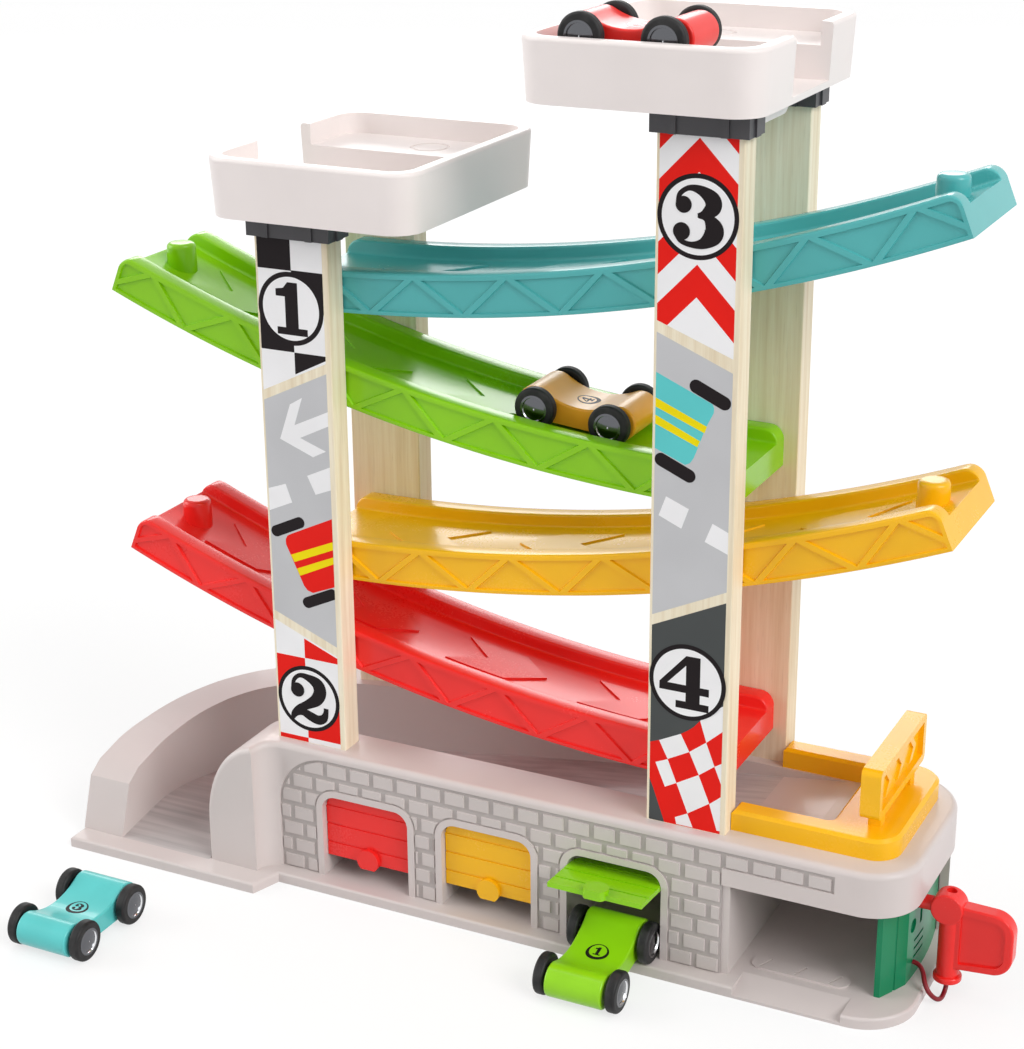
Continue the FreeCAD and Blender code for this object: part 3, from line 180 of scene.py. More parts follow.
class Finish(Graph):
    """One material: a Principled shader and the nodes that feed it."""

    def __init__(self, name, **constants):
        self.material = bpy.data.materials.new(name)
        self.material.use_nodes = True
        super().__init__(self.material.node_tree)
        self.shader = self.tree.nodes["Principled BSDF"]
        for socket, value in constants.items():
            self.shader.inputs[socket.replace("_", " ")].default_value = value
        finishes[name] = self.material

    def feed(self, **values):
        for key, value in values.items():
            self.put(self.shader.inputs[key.replace("_", " ")], value)

    def noise(self, scale, detail, stretch=(1, 1, 1), roughness=0.5):
        """Noise over the place on the piece in metres; a small stretch draws it out."""
        place = self.add("ShaderNodeTexCoord", output="Object")
        at = self.add("ShaderNodeVectorMath", {0: place, 1: stretch}, operation="MULTIPLY")
        return self.add("ShaderNodeTexNoise", {"Vector": at, "Scale": scale, "Detail": detail,
                                               "Roughness": roughness})

    def ramp(self, value, low, high):
        """Brings the middle of a noise out: low becomes 0 and high becomes 1."""
        return self.add("ShaderNodeMapRange", {"Value": value, "From Min": low, "From Max": high})

    def blend(self, factor, first, second):
        """A colour between two. The Mix node keeps its colours at sockets 6, 7 and 2."""
        return self.add("ShaderNodeMix", {0: factor, 6: first, 7: second}, 2, data_type="RGBA")

    def bump(self, height, strength):
        self.feed(Normal=self.add("ShaderNodeBump", {"Strength": strength, "Height": height,
                                                     "Distance": BUMP_DEPTH}))


def rgb(red, green, blue):
    """A colour as seen on screen, 0 to 255, turned into the light that Blender counts."""
    def light(c):
        c = c / 255
        return c / 12.92 if c <= 0.04045 else ((c + 0.055) / 1.055) ** 2.4
    return (light(red), light(green), light(blue), 1.0)


def scaled(colour, factor):
    return tuple(min(1.0, c * factor) for c in colour[:3]) + (1.0,)


# %% [markdown]
# ## Moulded plastic
# Most of the toy is injection moulded. Such plastic never looks perfectly even: it
# has faint waves from the mould, and its shine and tone drift by a percent or two.
# A broad noise moves the colour, a fine noise moves the roughness, and a very weak
# bump breaks the reflections.

# %% Plastics
def plastic(name, colour, roughness, drift, coat):
    f = Finish(name, IOR=1.5, Specular_IOR_Level=0.3, Coat_Roughness=0.12)
    cloud = f.noise(22, 3)
    fine = f.noise(900, 2)
    tone = f.ramp(cloud, 0.35, 0.65)
    f.feed(Base_Color=f.blend(tone, scaled(colour, 1 - drift), scaled(colour, 1 + drift / 2)),
           Roughness=f.ramp(cloud, 0.3, 0.7) * 0.06 + fine * 0.05 + (roughness - 0.055),
           Coat_Weight=tone * 0.1 + coat)
    f.bump(f.noise(120, 1) * 0.8 + fine * 0.2, 0.06)


# One pale plastic in two copies: the base's darker copy is painted shade, and the trays' lighter copy
# is painted light.
plastic("base_plastic_painted_shade", rgb(210, 200, 197), 0.36, 0.03, 0.06)
plastic("tray_plastic_painted_light", rgb(238, 229, 226), 0.34, 0.03, 0.06)
plastic("teal_plastic", rgb(84, 180, 180), 0.24, 0.05, 0.12)
plastic("green_plastic", rgb(140, 206, 10), 0.24, 0.05, 0.12)
plastic("yellow_plastic", rgb(250, 188, 12), 0.26, 0.05, 0.12)
plastic("red_plastic", rgb(244, 42, 38), 0.26, 0.05, 0.12)
plastic("dark_green_plastic", rgb(0, 128, 84), 0.34, 0.06, 0.03)
plastic("collar_plastic", rgb(72, 71, 74), 0.42, 0.06, 0.02)
plastic("hose_plastic", rgb(132, 22, 34), 0.35, 0.08, 0.05)
print("plastics:", len(finishes))

# %% [markdown]
# The channel's floor is darker than the rest of the base, with streaks along the way
# the cars run. The streaks are wear where wheels have brushed it; the darker tone is
# partly that wear and partly painted shade from the towers and tracks above. A noise
# stretched along X gives such streaks.

# %% Channel floor
def channel_plastic():
    f = Finish("channel_plastic", IOR=1.5, Specular_IOR_Level=0.3)
    streaks = f.ramp(f.noise(260, 4, (0.04, 1, 1)), 0.35, 0.7)
    cloud = f.ramp(f.noise(14, 3), 0.35, 0.65)
    # Darker streaks and tone: wear along the run, and painted shade.
    worn_and_shaded = f.blend(streaks * 0.55 + cloud * 0.3, rgb(205, 198, 196), rgb(158, 153, 152))
    f.feed(Base_Color=worn_and_shaded, Roughness=streaks * 0.18 + 0.36)
    f.bump(streaks, 0.08)


channel_plastic()

# %% [markdown]
# ## Wood
# The boards are planed from pale, fine-grained wood. Grain is a stack of growth
# rings cut lengthwise, so it runs up the board in long, slightly wavering lines,
# with short darker pores along them. One noise stretched far along Z makes the
# rings, a second bends them, and a third adds the pores.

# %% Pale boards
def pale_wood(name, light, dark):
    f = Finish(name, IOR=1.48, Specular_IOR_Level=0.25, Coat_Roughness=0.35)
    waver = f.noise(9, 2, (1, 1, 0.35))
    rings = f.noise(330, 5, (1, 1, 0.035), 0.6)
    lines = f.ramp(rings + waver * 0.25, 0.42, 0.82)
    pores = f.ramp(f.noise(1500, 2, (1, 1, 0.05)), 0.62, 0.74)
    tone = f.blend(lines, light, dark)
    f.feed(Base_Color=f.blend(pores * 0.25, tone, scaled(dark, 0.72)),
           Roughness=lines * 0.12 + 0.5, Coat_Weight=0.04)
    f.bump(rings * 0.6 + pores * -0.5 + 0.5, 0.12)


pale_wood("board_wood", rgb(246, 237, 214), rgb(226, 209, 178))

# %% [markdown]
# The cars are wood too, under gloss paint. Through good paint the grain only shows
# as a faint ripple in the shine: a weak bump, while the colour stays almost even.

# %% Painted cars
def car_paint(name, colour):
    f = Finish(name, IOR=1.5, Specular_IOR_Level=0.35, Coat_Roughness=0.05)
    grain = f.noise(420, 3, (0.15, 0.15, 1))
    cloud = f.ramp(f.noise(60, 2), 0.35, 0.65)
    f.feed(Base_Color=f.blend(cloud, scaled(colour, 0.95), scaled(colour, 1.03)),
           Roughness=grain * 0.08 + 0.26, Coat_Weight=cloud * 0.08 + 0.12)
    f.bump(grain, 0.05)


car_paint("teal_paint", rgb(90, 198, 196))
car_paint("green_paint", rgb(143, 208, 18))
car_paint("red_paint", rgb(238, 44, 38))
car_paint("orange_paint", rgb(252, 172, 44))

# %% [markdown]
# ## Where a car stands
# The cars stand at different headings, one of them on a slope. The line from a
# car's rear axle to its front one tells its heading. From it comes a matrix that
# leads from the car's own axes to the toy, for the hub caps and later the numbers.

# %% Car axes
def middle_of(node):
    low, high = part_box(node)
    return (low + high) / 2 / MM


def car_matrix(colour):
    """From the car's own axes, with the ground at zero, to the toy, by its two axles."""
    front = middle_of("car_" + colour + "_front_axle")
    rear = middle_of("car_" + colour + "_rear_axle")
    low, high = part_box("car_" + colour + "_front_tyres")
    wheel_radius = (high.z - low.z) / 2 / MM
    ahead = (front - rear).normalized()
    left = Vector((0, 0, 1)).cross(ahead).normalized()
    up = ahead.cross(left)
    ground = (front + rear) / 2 - up * wheel_radius
    return Matrix.Translation(ground) @ Matrix((ahead, left, up)).transposed().to_4x4()


# %% [markdown]
# ## Rubber and metal
# Tyres are black rubber with a dusty sheen, so they are rough and not quite black.
# Hub caps are pressed bright metal. Their colour has the light painted in: the flat
# face is darker, a painted reflection of a dark studio, and the rolled rim brighter,
# a painted highlight. A spot's normal tells which of the two it belongs to: on the face
# it points along the axle.

# %% Tyres, hub caps and axles
FACE_STARTS, FACE_FULL = 0.88, 0.95


def tyre_rubber():
    f = Finish("tyre_rubber", IOR=1.5, Specular_IOR_Level=0.3)
    dust = f.ramp(f.noise(180, 4), 0.4, 0.7)
    f.feed(Base_Color=f.blend(dust, rgb(22, 22, 23), rgb(48, 47, 47)),
           Roughness=dust * 0.15 + 0.5)
    f.bump(f.noise(2200, 2), 0.1)


def axle_metal():
    f = Finish("axle_metal", Metallic=1.0)
    turned = f.noise(1400, 3)
    colour = rgb(190, 190, 192)
    f.feed(Base_Color=f.blend(turned, scaled(colour, 0.9), colour), Roughness=turned * 0.12 + 0.3)
    f.bump(turned, 0.03)


def hub_metal(colour):
    """Pressed caps: a dark painted reflection in the middle and a painted highlight on the rolled rim
    round it.
    """
    f = Finish("hub_metal_" + colour, Metallic=1.0)
    turned = f.noise(1400, 3)
    axle = car_matrix(colour).to_3x3() @ Vector((0, 1, 0))
    normal = f.add("ShaderNodeTexCoord", output="Normal")
    facing = f.add("ShaderNodeVectorMath", {0: normal, 1: tuple(axle.normalized())}, "Value",
                   operation="DOT_PRODUCT")
    face = f.ramp(facing * facing, FACE_STARTS, FACE_FULL)
    # Painted light: dark for a reflection on the face, bright for a highlight on the rim.
    f.feed(Base_Color=f.blend(face, rgb(235, 236, 238), rgb(104, 105, 109)),
           Roughness=turned * 0.1 + 0.1)
    f.bump(turned, 0.03)


tyre_rubber()
axle_metal()
for colour in CAR_COLOURS:
    hub_metal(colour)
print("finishes so far:", len(finishes))

# %% [markdown]
# ## Every CAD piece gets its finish
# The CAD objects keep their shape and only get a material. A table from the start
# of a piece's name to its finish covers them all.

# %% Dress the CAD pieces
DRESS = {
    "base_plate": "base_plastic_painted_shade", "garage_front": "base_plastic_painted_shade", "pump_house": "base_plastic_painted_shade",
    "chute_wall": "base_plastic_painted_shade", "chute_floor": "channel_plastic", "board_": "board_wood",
    "cap_": "collar_plastic", "tray_": "tray_plastic_painted_light", "fence": "yellow_plastic",
    "sign": "yellow_plastic", "pump_panel": "dark_green_plastic", "fuel_gun": "red_plastic",
    "fuel_hose": "hose_plastic",
}
for colour in TRACK_COLOURS:
    DRESS["track_" + colour] = DRESS["door_" + colour] = colour + "_plastic"
for colour in CAR_COLOURS:
    DRESS["car_" + colour + "_body"] = colour + "_paint"
    for end in ("_front", "_rear"):
        for piece, finish in (("_tyres", "tyre_rubber"), ("_axle", "axle_metal"),
                              ("_hubs", "hub_metal_" + colour)):
            DRESS["car_" + colour + end + piece] = finish


def finish_for(node):
    return finishes[next(DRESS[start] for start in DRESS if node.startswith(start))]


for name, piece in nodes.items():
    piece.data.materials.clear()
    piece.data.materials.append(finish_for(name))
print("dressed:", len(nodes))

# %% [markdown]
# ## The fuel hose
# A thin limp hose runs from the panel to the foot of the nozzle's grip. A NURBS
# spline with six control points gives one smooth line with no flat spots, and the
# bevel turns that line into a tube. The order is set after the points, because a
# new spline has too few points to hold it.

# %% Hose
HOSE_RADIUS = 1.05
HOSE_ROUTE = [(179.425, 33.163, 13.0), (183.6, 33.163, 13.0), (188.1, 23.0, 7.5),
              (193.5, 26.7, 0.4), (193.925, 35.663, 2.5), (193.925, 35.663, 7.3)]


def hose_curve(route, radius):
    curve = bpy.data.curves.new("limp_hose", "CURVE")
    curve.dimensions = "3D"
    curve.resolution_u = 24
    spline = curve.splines.new("NURBS")
    spline.points.add(len(route) - 1)
    for point, (x, y, z) in zip(spline.points, route):
        point.co = (x * MM, y * MM, z * MM, 1)
    spline.order_u = 3
    spline.use_endpoint_u = True
    curve.bevel_depth = radius * MM
    curve.bevel_resolution = 5
    curve.use_fill_caps = True
    curve.materials.append(finish_for("fuel_hose"))
    return curve


hose = linked("limp_hose", hose_curve(HOSE_ROUTE, HOSE_RADIUS))
carried(hose, stands_for="fuel_hose")

# %% [markdown]
# ## The channel's wall
# The wall beside the run-out channel sweeps down in one rounded line. It comes from
# CAD as narrow flat strips with a hard edge between them. In a welded copy
# neighbouring strips share their points, so the shading runs smoothly over them.

# %% Weld and smooth
WELD = 2e-6
WALL_SOFT_EDGE = 38

mesh = bmesh.new()
mesh.from_mesh(nodes["chute_wall"].data)
bmesh.ops.remove_doubles(mesh, verts=mesh.verts, dist=WELD)
soft_wall = from_bmesh("soft_chute_wall", mesh, WALL_SOFT_EDGE)
soft_wall.data.materials.append(finish_for("chute_wall"))
carried(soft_wall, stands_for="chute_wall")
print("faces of the channel's wall:", len(soft_wall.data.polygons))

# %% [markdown]
# ## The curved tracks
# Each track is a moulded trough bent to one large radius. Its walls are stiffened
# like a bridge: triangular panels are sunk into them and leave slanting bars. Here
# these panels get their full depth. All is planned in the angle along the bend and
# the radius, and a small class turns those into a place. The same plan serves all
# four tracks, because two of them are the mirror image of the others.

# %% A track's sizes in millimetres
TRACK_RADIUS = 774.0
TRACK_HEIGHT = 18.3
TRACK_FLOOR = 12.0
TRACK_WALL = 9.0
TRACK_HALF = 31.5
TRACK_START = -0.18
TRACK_END = 22.57
TRACK_CORNER = 6.0
RIM_ROUNDING = 1.1
FOOT_ROUNDING = 0.5
FLOOR_ROUNDING = 1.4
ROUNDING_SHARE = 0.45
FOOT_MIDDLE = 0.3
TRACK_SOFT_EDGE = 28
MIRRORED_TRACKS = ("track_green", "track_red")
STEPS_ALONG = 56
PER_DEGREE = math.radians(767)


class Bend:
    """Turns an angle, a radius and a place across the track into a point of the toy."""

    def __init__(self, node):
        low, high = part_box(node)
        low, high = low / MM, high / MM
        reach = TRACK_RADIUS * math.sin(math.radians(-TRACK_START))
        mirrored = node in MIRRORED_TRACKS
        self.side = -1 if mirrored else 1
        self.level = high.x - reach if mirrored else low.x + reach
        self.bottom = low.z
        self.middle = (low.y + high.y) / 2

    def flat(self, degrees, radius):
        """The place in the side view, in millimetres."""
        angle = math.radians(degrees)
        return Vector((self.level + self.side * radius * math.sin(angle),
                       self.bottom + TRACK_RADIUS - radius * math.cos(angle)))

    def at(self, degrees, radius, across):
        spot = self.flat(degrees, radius)
        return Vector((spot.x, self.middle + across, spot.y)) * MM


def end_drop(degrees, corner, start=TRACK_START, end=TRACK_END):
    """How far the rounded upper corners pull an edge down near the two ends."""
    from_end = min(degrees - start, end - degrees) * PER_DEGREE
    if from_end >= corner:
        return 0.0
    return corner - math.sqrt(max(0.0, corner ** 2 - (corner - from_end) ** 2))


def stations():
    """Angles where the track is drawn, closer together in the rounded corners."""
    near = [TRACK_CORNER * (1 - math.cos(math.radians(15 * i))) / PER_DEGREE for i in range(7)]
    first = TRACK_START + near[-1]
    last = TRACK_END - near[-1]
    middle = [first + (last - first) * i / STEPS_ALONG for i in range(1, STEPS_ALONG)]
    return [TRACK_START + d for d in near] + middle + [TRACK_END - d for d in reversed(near)]


print("stations along a track:", len(stations()))

# %% [markdown]
# ## The trough
# Cut across, the track is a shallow U with rounded rims. The points of that U are
# repeated at every station, and neighbouring rows of points become quads. The two
# outer walls are left open here, because the sunk panels go into them.

# %% Section across the track
def half_section(top, floor):
    """From the wall's foot over its rim to the floor, as (across, radius) on one side."""
    largest = (floor - top) * ROUNDING_SHARE
    rim = min(RIM_ROUNDING, largest)
    fillet = min(FLOOR_ROUNDING, largest)
    outer = TRACK_HALF
    inner = TRACK_HALF - TRACK_WALL
    foot = [(outer - FOOT_ROUNDING, TRACK_RADIUS),
            (outer - FOOT_ROUNDING * FOOT_MIDDLE, TRACK_RADIUS - FOOT_ROUNDING * FOOT_MIDDLE),
            (outer, TRACK_RADIUS - FOOT_ROUNDING)]
    turn = [math.radians(22.5 * i) for i in range(5)]
    over = [(outer - rim + rim * math.cos(t), top + rim - rim * math.sin(t)) for t in turn]
    into = [(inner + rim - rim * math.sin(t), top + rim - rim * math.cos(t)) for t in turn]
    hollow = [(inner - fillet + fillet * math.cos(t), floor - fillet + fillet * math.sin(t))
              for t in turn]
    return foot, over + into + hollow


def section(degrees):
    """The whole U, the foot first, then over one wall, the floor and the other wall."""
    top = TRACK_RADIUS - TRACK_HEIGHT + end_drop(degrees, TRACK_CORNER)
    foot, upper = half_section(top, TRACK_RADIUS - TRACK_FLOOR)
    below = [(-y, r) for y, r in reversed(foot)] + foot
    above = upper + [(-y, r) for y, r in reversed(upper)]
    return below, above


def skin(mesh, rows):
    """Quads between neighbouring rows of points."""
    lines = [[mesh.verts.new(spot) for spot in row] for row in rows]
    for near, far in zip(lines, lines[1:]):
        for i in range(len(near) - 1):
            mesh.faces.new((near[i], near[i + 1], far[i + 1], far[i]))


def flat_face(mesh, outlines, place, plan):
    """Triangles that fill the first outline, with the others as holes; plan is its flat view."""
    made = [mesh.verts.new(place(spot)) for outline in outlines for spot in outline]
    flat = [[plan(spot).to_3d() for spot in outline] for outline in outlines]
    for a, b, c in tessellate_polygon(flat):
        mesh.faces.new((made[a], made[b], made[c]))


print("points in a section:", sum(len(part) for part in section(10)))

# %% [markdown]
# ## The bridge panels
# Triangles stand point up and point down in turn, and the bars are what is left
# between them. The wall's rounded corners cut off the last triangles, so every
# triangle is clipped against one rounded mould, edge by edge. All these shapes
# bulge outwards everywhere, which keeps the clipping short.

# %% Sunk triangles
TRUSS_FIRST = 1.27
TRUSS_PITCH = 3.333
TRUSS_BAR = 3.9
TRUSS_COUNT = 7
TRUSS_RAIL = 2.5
TRUSS_FOOT = 1.7
TRUSS_DEPTH = 1.1
TRUSS_SLANT = 0.35
TRUSS_END = 0.12
SHORTEST_SIDE = 0.02
SHARPEST_TIP = 0.3
TRUSS_LOW = TRACK_RADIUS - TRUSS_FOOT
TRUSS_HIGH = TRACK_RADIUS - TRACK_HEIGHT + TRUSS_RAIL


def sides(outline):
    """Each point with the next one, and the last with the first."""
    return zip(outline, outline[1:] + outline[:1])


def signed_area(outline):
    """Positive where the outline runs against the clock."""
    return sum(x0 * z1 - x1 * z0 for (x0, z0), (x1, z1) in sides(outline)) / 2


def wedge(tip, base, degrees, reach):
    """A triangle with its point at one radius and its bent base along another."""
    along = [(degrees - reach + reach * i / 4, base) for i in range(9)]
    return [Vector(spot) for spot in along + [(degrees, tip)]]


def counter_clockwise(outline):
    turned = [Vector((spot.x * PER_DEGREE, spot.y)) for spot in outline]
    if signed_area(turned) < 0:
        turned.reverse()
    return turned


def clip(outline, mould):
    """The part of one outline that lies inside the other."""
    for a, b in sides(mould):
        kept = []
        for p, q in sides(outline):
            side_p = (b - a).cross(p - a)
            side_q = (b - a).cross(q - a)
            if side_p >= 0:
                kept.append(p)
            if side_p * side_q < 0:
                kept.append(p + (q - p) * (side_p / (side_p - side_q)))
        outline = kept
        if len(outline) < 3:
            return []
    return outline


def without_repeats(outline):
    return [spot for before, spot in zip(outline[-1:] + outline[:-1], outline)
            if (spot - before).length > SHORTEST_SIDE]


def drawn_in(outline, amount):
    """A smaller outline, every side moved inwards alike."""
    smaller = []
    for before, spot, after in zip(outline[-1:] + outline[:-1], outline, outline[1:] + outline[:1]):
        came = (spot - before).normalized()
        goes = (after - spot).normalized()
        inward = Vector((-came.y - goes.y, came.x + goes.x)).normalized()
        share = max(SHARPEST_TIP, inward.dot(Vector((-came.y, came.x))))
        smaller.append(spot + inward * (amount / share))
    return smaller


def panel_mould():
    """The band that the panels may fill, with its upper corners rounded."""
    corner = TRACK_CORNER - TRUSS_RAIL
    start = TRACK_START + TRUSS_END
    end = TRACK_END - TRUSS_END
    turns = [corner * (1 - math.cos(math.radians(18 * i))) / PER_DEGREE for i in range(6)]
    angles = [start + d for d in turns] + [end - d for d in reversed(turns)]
    upper = [(angle, TRUSS_HIGH + end_drop(angle, corner, start, end)) for angle in angles]
    return [Vector(spot) for spot in [(end, TRUSS_LOW), (start, TRUSS_LOW)] + upper]


def panels():
    """Every sunk triangle, as angles and radii."""
    reach = TRUSS_PITCH / 2 - math.degrees(TRUSS_BAR / TRACK_RADIUS)
    mould = counter_clockwise(panel_mould())
    shapes = []
    for i in range(-1, TRUSS_COUNT):
        point = TRUSS_FIRST + i * TRUSS_PITCH
        shapes.append(wedge(TRUSS_LOW, TRUSS_HIGH, point + TRUSS_PITCH / 2, reach))
        if i >= 0:
            shapes.append(wedge(TRUSS_HIGH, TRUSS_LOW, point, reach))
    kept = [without_repeats(clip(counter_clockwise(shape), mould)) for shape in shapes]
    return [shape for shape in kept if len(shape) > 2]


print("panels on each wall:", len(panels()))

# %% [markdown]
# The outer wall is one flat face with holes, plus the slanting sides and the sunk
# floor of each panel. The slant lets a real part leave its mould, and it catches
# the light along every bar.

# %% Outer walls
def outer_wall(mesh, bend, side):
    def plan(spot):
        return bend.flat(spot[0] / PER_DEGREE, spot[1])

    def on_face(spot):
        return bend.at(spot[0] / PER_DEGREE, spot[1], TRACK_HALF * side)

    def sunk(spot):
        return bend.at(spot[0] / PER_DEGREE, spot[1], (TRACK_HALF - TRUSS_DEPTH) * side)

    foot = [Vector((a * PER_DEGREE, TRACK_RADIUS - FOOT_ROUNDING)) for a in stations()]
    rim = [Vector((a * PER_DEGREE, section(a)[1][0][1])) for a in stations()]
    holes = panels()
    flat_face(mesh, [foot + rim[::-1]] + holes, on_face, plan)
    for hole in holes:
        inner = drawn_in(hole, TRUSS_SLANT)
        skin(mesh, [[on_face(spot) for spot in hole + hole[:1]],
                    [sunk(spot) for spot in inner + inner[:1]]])
        flat_face(mesh, [inner], sunk, plan)


# %% [markdown]
# ## Peg and arrows
# A round peg at the high end stops a car, and raised arrows on the floor point down
# the slope. The peg is a profile turned round an upright axis. An arrow is a bent
# grid that follows the floor, with a skirt down into it.

# %% Peg and arrows
PEG_ANGLE = 21.55
PEG_HEIGHT = 11.0
PEG_RADIUS = 7.0
PEG_TAPER = 0.4
PEG_ROUNDING = 2.0
PEG_ROOT = 4.0
PEG_BAND, PEG_SWELL = 0.8, 0.05
PEG_CROWN = (0.02, 0.1)
ARROW_FIRST = 2.15
ARROW_PITCH = 5.0
ARROW_COUNT = 4
ARROW_RELIEF = 0.8
ARROW_HALF = 12.5
ARROW_POINT = 16.0
ARROW_LENGTH = 30.0
ARROW_ROOT = 0.3
ARROW_STEPS, ARROW_ROWS = 5, 10


def peg(mesh, bend):
    foot = bend.at(PEG_ANGLE, TRACK_RADIUS - TRACK_FLOOR, 0)
    shoulder = PEG_RADIUS - PEG_TAPER
    profile = [(PEG_RADIUS, -PEG_ROOT), (shoulder + PEG_SWELL, PEG_HEIGHT - PEG_ROUNDING - PEG_BAND)]
    for i in range(6):
        t = math.radians(18 * i)
        profile.append((shoulder - PEG_ROUNDING * (1 - math.cos(t)),
                        PEG_HEIGHT - PEG_ROUNDING * (1 - math.sin(t))))
    profile += [(shoulder - PEG_ROUNDING - PEG_BAND, PEG_HEIGHT + PEG_CROWN[0]),
                (0, PEG_HEIGHT + PEG_CROWN[1])]
    turns = [math.radians(10 * i) for i in range(37)]
    skin(mesh, [[foot + Vector((r * math.cos(t), r * math.sin(t), z)) * MM for t in turns]
                for r, z in profile])


def arrow(mesh, bend, degrees):
    floor = TRACK_RADIUS - TRACK_FLOOR
    rows = []
    for i in range(-ARROW_STEPS, ARROW_STEPS + 1):
        across = ARROW_HALF * i / ARROW_STEPS
        start = degrees * PER_DEGREE + ARROW_POINT * abs(i) / ARROW_STEPS
        angles = [(start + ARROW_LENGTH * j / ARROW_ROWS) / PER_DEGREE for j in range(ARROW_ROWS + 1)]
        crown = [bend.at(angle, floor - ARROW_RELIEF, across) for angle in angles]
        feet = [bend.at(angle, floor + ARROW_ROOT, across) for angle in angles]
        rows.append([feet[0]] + crown + [feet[-1]])
        if abs(i) == ARROW_STEPS:
            skin(mesh, [crown, feet])
    skin(mesh, rows)


# %% Build the four tracks
def build_track(colour):
    node = "track_" + colour
    bend = Bend(node)
    mesh = bmesh.new()
    rows = [section(a) for a in stations()]
    for part in (0, 1):
        skin(mesh, [[bend.at(a, r, y) for y, r in row[part]] for a, row in zip(stations(), rows)])
    for side in (-1, 1):
        outer_wall(mesh, bend, side)
    for angle in (TRACK_START, TRACK_END):
        below, above = section(angle)
        flat_face(mesh, [below + above], lambda spot: bend.at(angle, spot[1], spot[0]), Vector)
    bmesh.ops.remove_doubles(mesh, verts=mesh.verts, dist=WELD)
    peg(mesh, bend)
    for i in range(ARROW_COUNT):
        arrow(mesh, bend, ARROW_FIRST + i * ARROW_PITCH)
    bmesh.ops.remove_doubles(mesh, verts=mesh.verts, dist=WELD)
    bmesh.ops.recalc_face_normals(mesh, faces=mesh.faces)
    piece = from_bmesh("moulded_" + node, mesh, TRACK_SOFT_EDGE)
    piece.data.materials.append(finish_for(node))
    carried(piece, stands_for=node)
    print(node, "faces:", len(piece.data.polygons))


for colour in TRACK_COLOURS:
    build_track(colour)

# %% [markdown]
# ## The brickwork
# The front wall has raised blocks with broad joints between them. The CAD keeps the
# blocks low and plain. Here a thin sheet of joint ground and a set of slant-sided
# blocks lie over them, trimmed by the outline of the wall's sunk field and by the
# three door arches.

# %% Block sizes
JOINT_PLANE = 1.043
BLOCK_FACE = 0.313
BLOCK_LENGTH = 9.9
BLOCK_PITCH = 12.15
BLOCK_HEIGHT = 6.3
BLOCK_SLANT = 0.3
ROW_TOPS = (62.7, 54.2, 46.0, 37.3, 28.8, 20.3, 11.8)
ROW_STARTS = (8.5, 14.5)
BLOCKS_BEFORE_START = 12
FIELD_LEFT, FIELD_RIGHT, LINTEL_END = -114.475, 104.275, 153.525
FIELD_BOTTOM, FIELD_TOP, LINTEL_FOOT = 5.0, 64.2, 56.4
FIELD_CORNER = 26
ARCH_CENTRES = (-69.475, -7.475, 54.525)
ARCH_HALF, ARCH_TOP, ARCH_CORNER = 25.5, 49.7, 10.2
QUARTER_STEPS = 12


# %% Prisms that run from front to back
def prism(mesh, outline, front, back, slant=0.0):
    """A closed shape over an outline; slant draws its front face in."""
    outline = [Vector(spot) for spot in outline]
    if signed_area(outline) < 0:
        outline.reverse()
    near = drawn_in(outline, slant) if slant else outline
    low = [mesh.verts.new((x * MM, back * MM, z * MM)) for x, z in outline]
    high = [mesh.verts.new((x * MM, front * MM, z * MM)) for x, z in near]
    faces = [mesh.faces.new(low), mesh.faces.new(high[::-1])]
    for k in range(len(outline)):
        n = (k + 1) % len(outline)
        faces.append(mesh.faces.new((low[n], low[k], high[k], high[n])))
    bmesh.ops.recalc_face_normals(mesh, faces=faces)


def prisms(name, outlines, front, back, slant=0.0):
    mesh = bmesh.new()
    for outline in outlines:
        prism(mesh, outline, front, back, slant)
    return from_bmesh(name, mesh)


def quarter(x, z, radius, start):
    """Points on a quarter circle, from an angle on, turning clockwise."""
    turns = [math.radians(start - 90 * k / QUARTER_STEPS) for k in range(QUARTER_STEPS + 1)]
    return [(x + radius * math.cos(t), z + radius * math.sin(t)) for t in turns]


# %% The field, the arches and the blocks
def field_outline(inset):
    left, top = FIELD_LEFT + inset, FIELD_TOP - inset
    corner = quarter(left + FIELD_CORNER, top - FIELD_CORNER, FIELD_CORNER, 180)
    end, right = LINTEL_END - inset, FIELD_RIGHT - max(inset, 0)
    foot = LINTEL_FOOT + max(inset, 0)
    return ([(left, FIELD_BOTTOM)] + corner
            + [(end, top), (end, foot), (right, foot), (right, FIELD_BOTTOM)])


def arch_outline(centre, wider):
    x, top, corner = ARCH_HALF + wider, ARCH_TOP + wider, ARCH_CORNER + wider
    left = quarter(centre - x + corner, top - corner, corner, 180)
    right = quarter(centre + x - corner, top - corner, corner, 90)
    return [(centre - x, 0)] + left + right + [(centre + x, 0)]


def block_outlines():
    outlines = []
    for row, top in enumerate(ROW_TOPS):
        x = ROW_STARTS[row % 2] - BLOCKS_BEFORE_START * BLOCK_PITCH
        while x < LINTEL_END:
            low, end = top - BLOCK_HEIGHT, x + BLOCK_LENGTH
            outlines.append([(x, low), (x, top), (end, top), (end, low)])
            x += BLOCK_PITCH
    return outlines


print(len(block_outlines()), "blocks before trimming")

# %% [markdown]
# Two boolean cuts do the trimming: the arches are taken away, and only what lies
# within the field is kept. The ground reaches a little past both, into the solid
# wall, so that no gap shows, while the blocks keep a margin of joint all round. The
# ground is darker and more matt than the blocks: painted shade in the joints, for the
# wall is one moulding of one colour. The blocks are a little darker than the rest of
# the base too, painted shade on the front wall.

# %% Trim and join
BLOCK_MARGIN, BLOCK_ARCH_GAP = 0.9, 0.8
GROUND_REACH, GROUND_CUT, GROUND_ARCH_REACH = 0.3, 0.4, 0.3
GROUND_THICKNESS, BLOCK_ROOT = 0.3, 0.1
ARCH_CUT, FIELD_CUT = (-3, 4), (-2, 3)

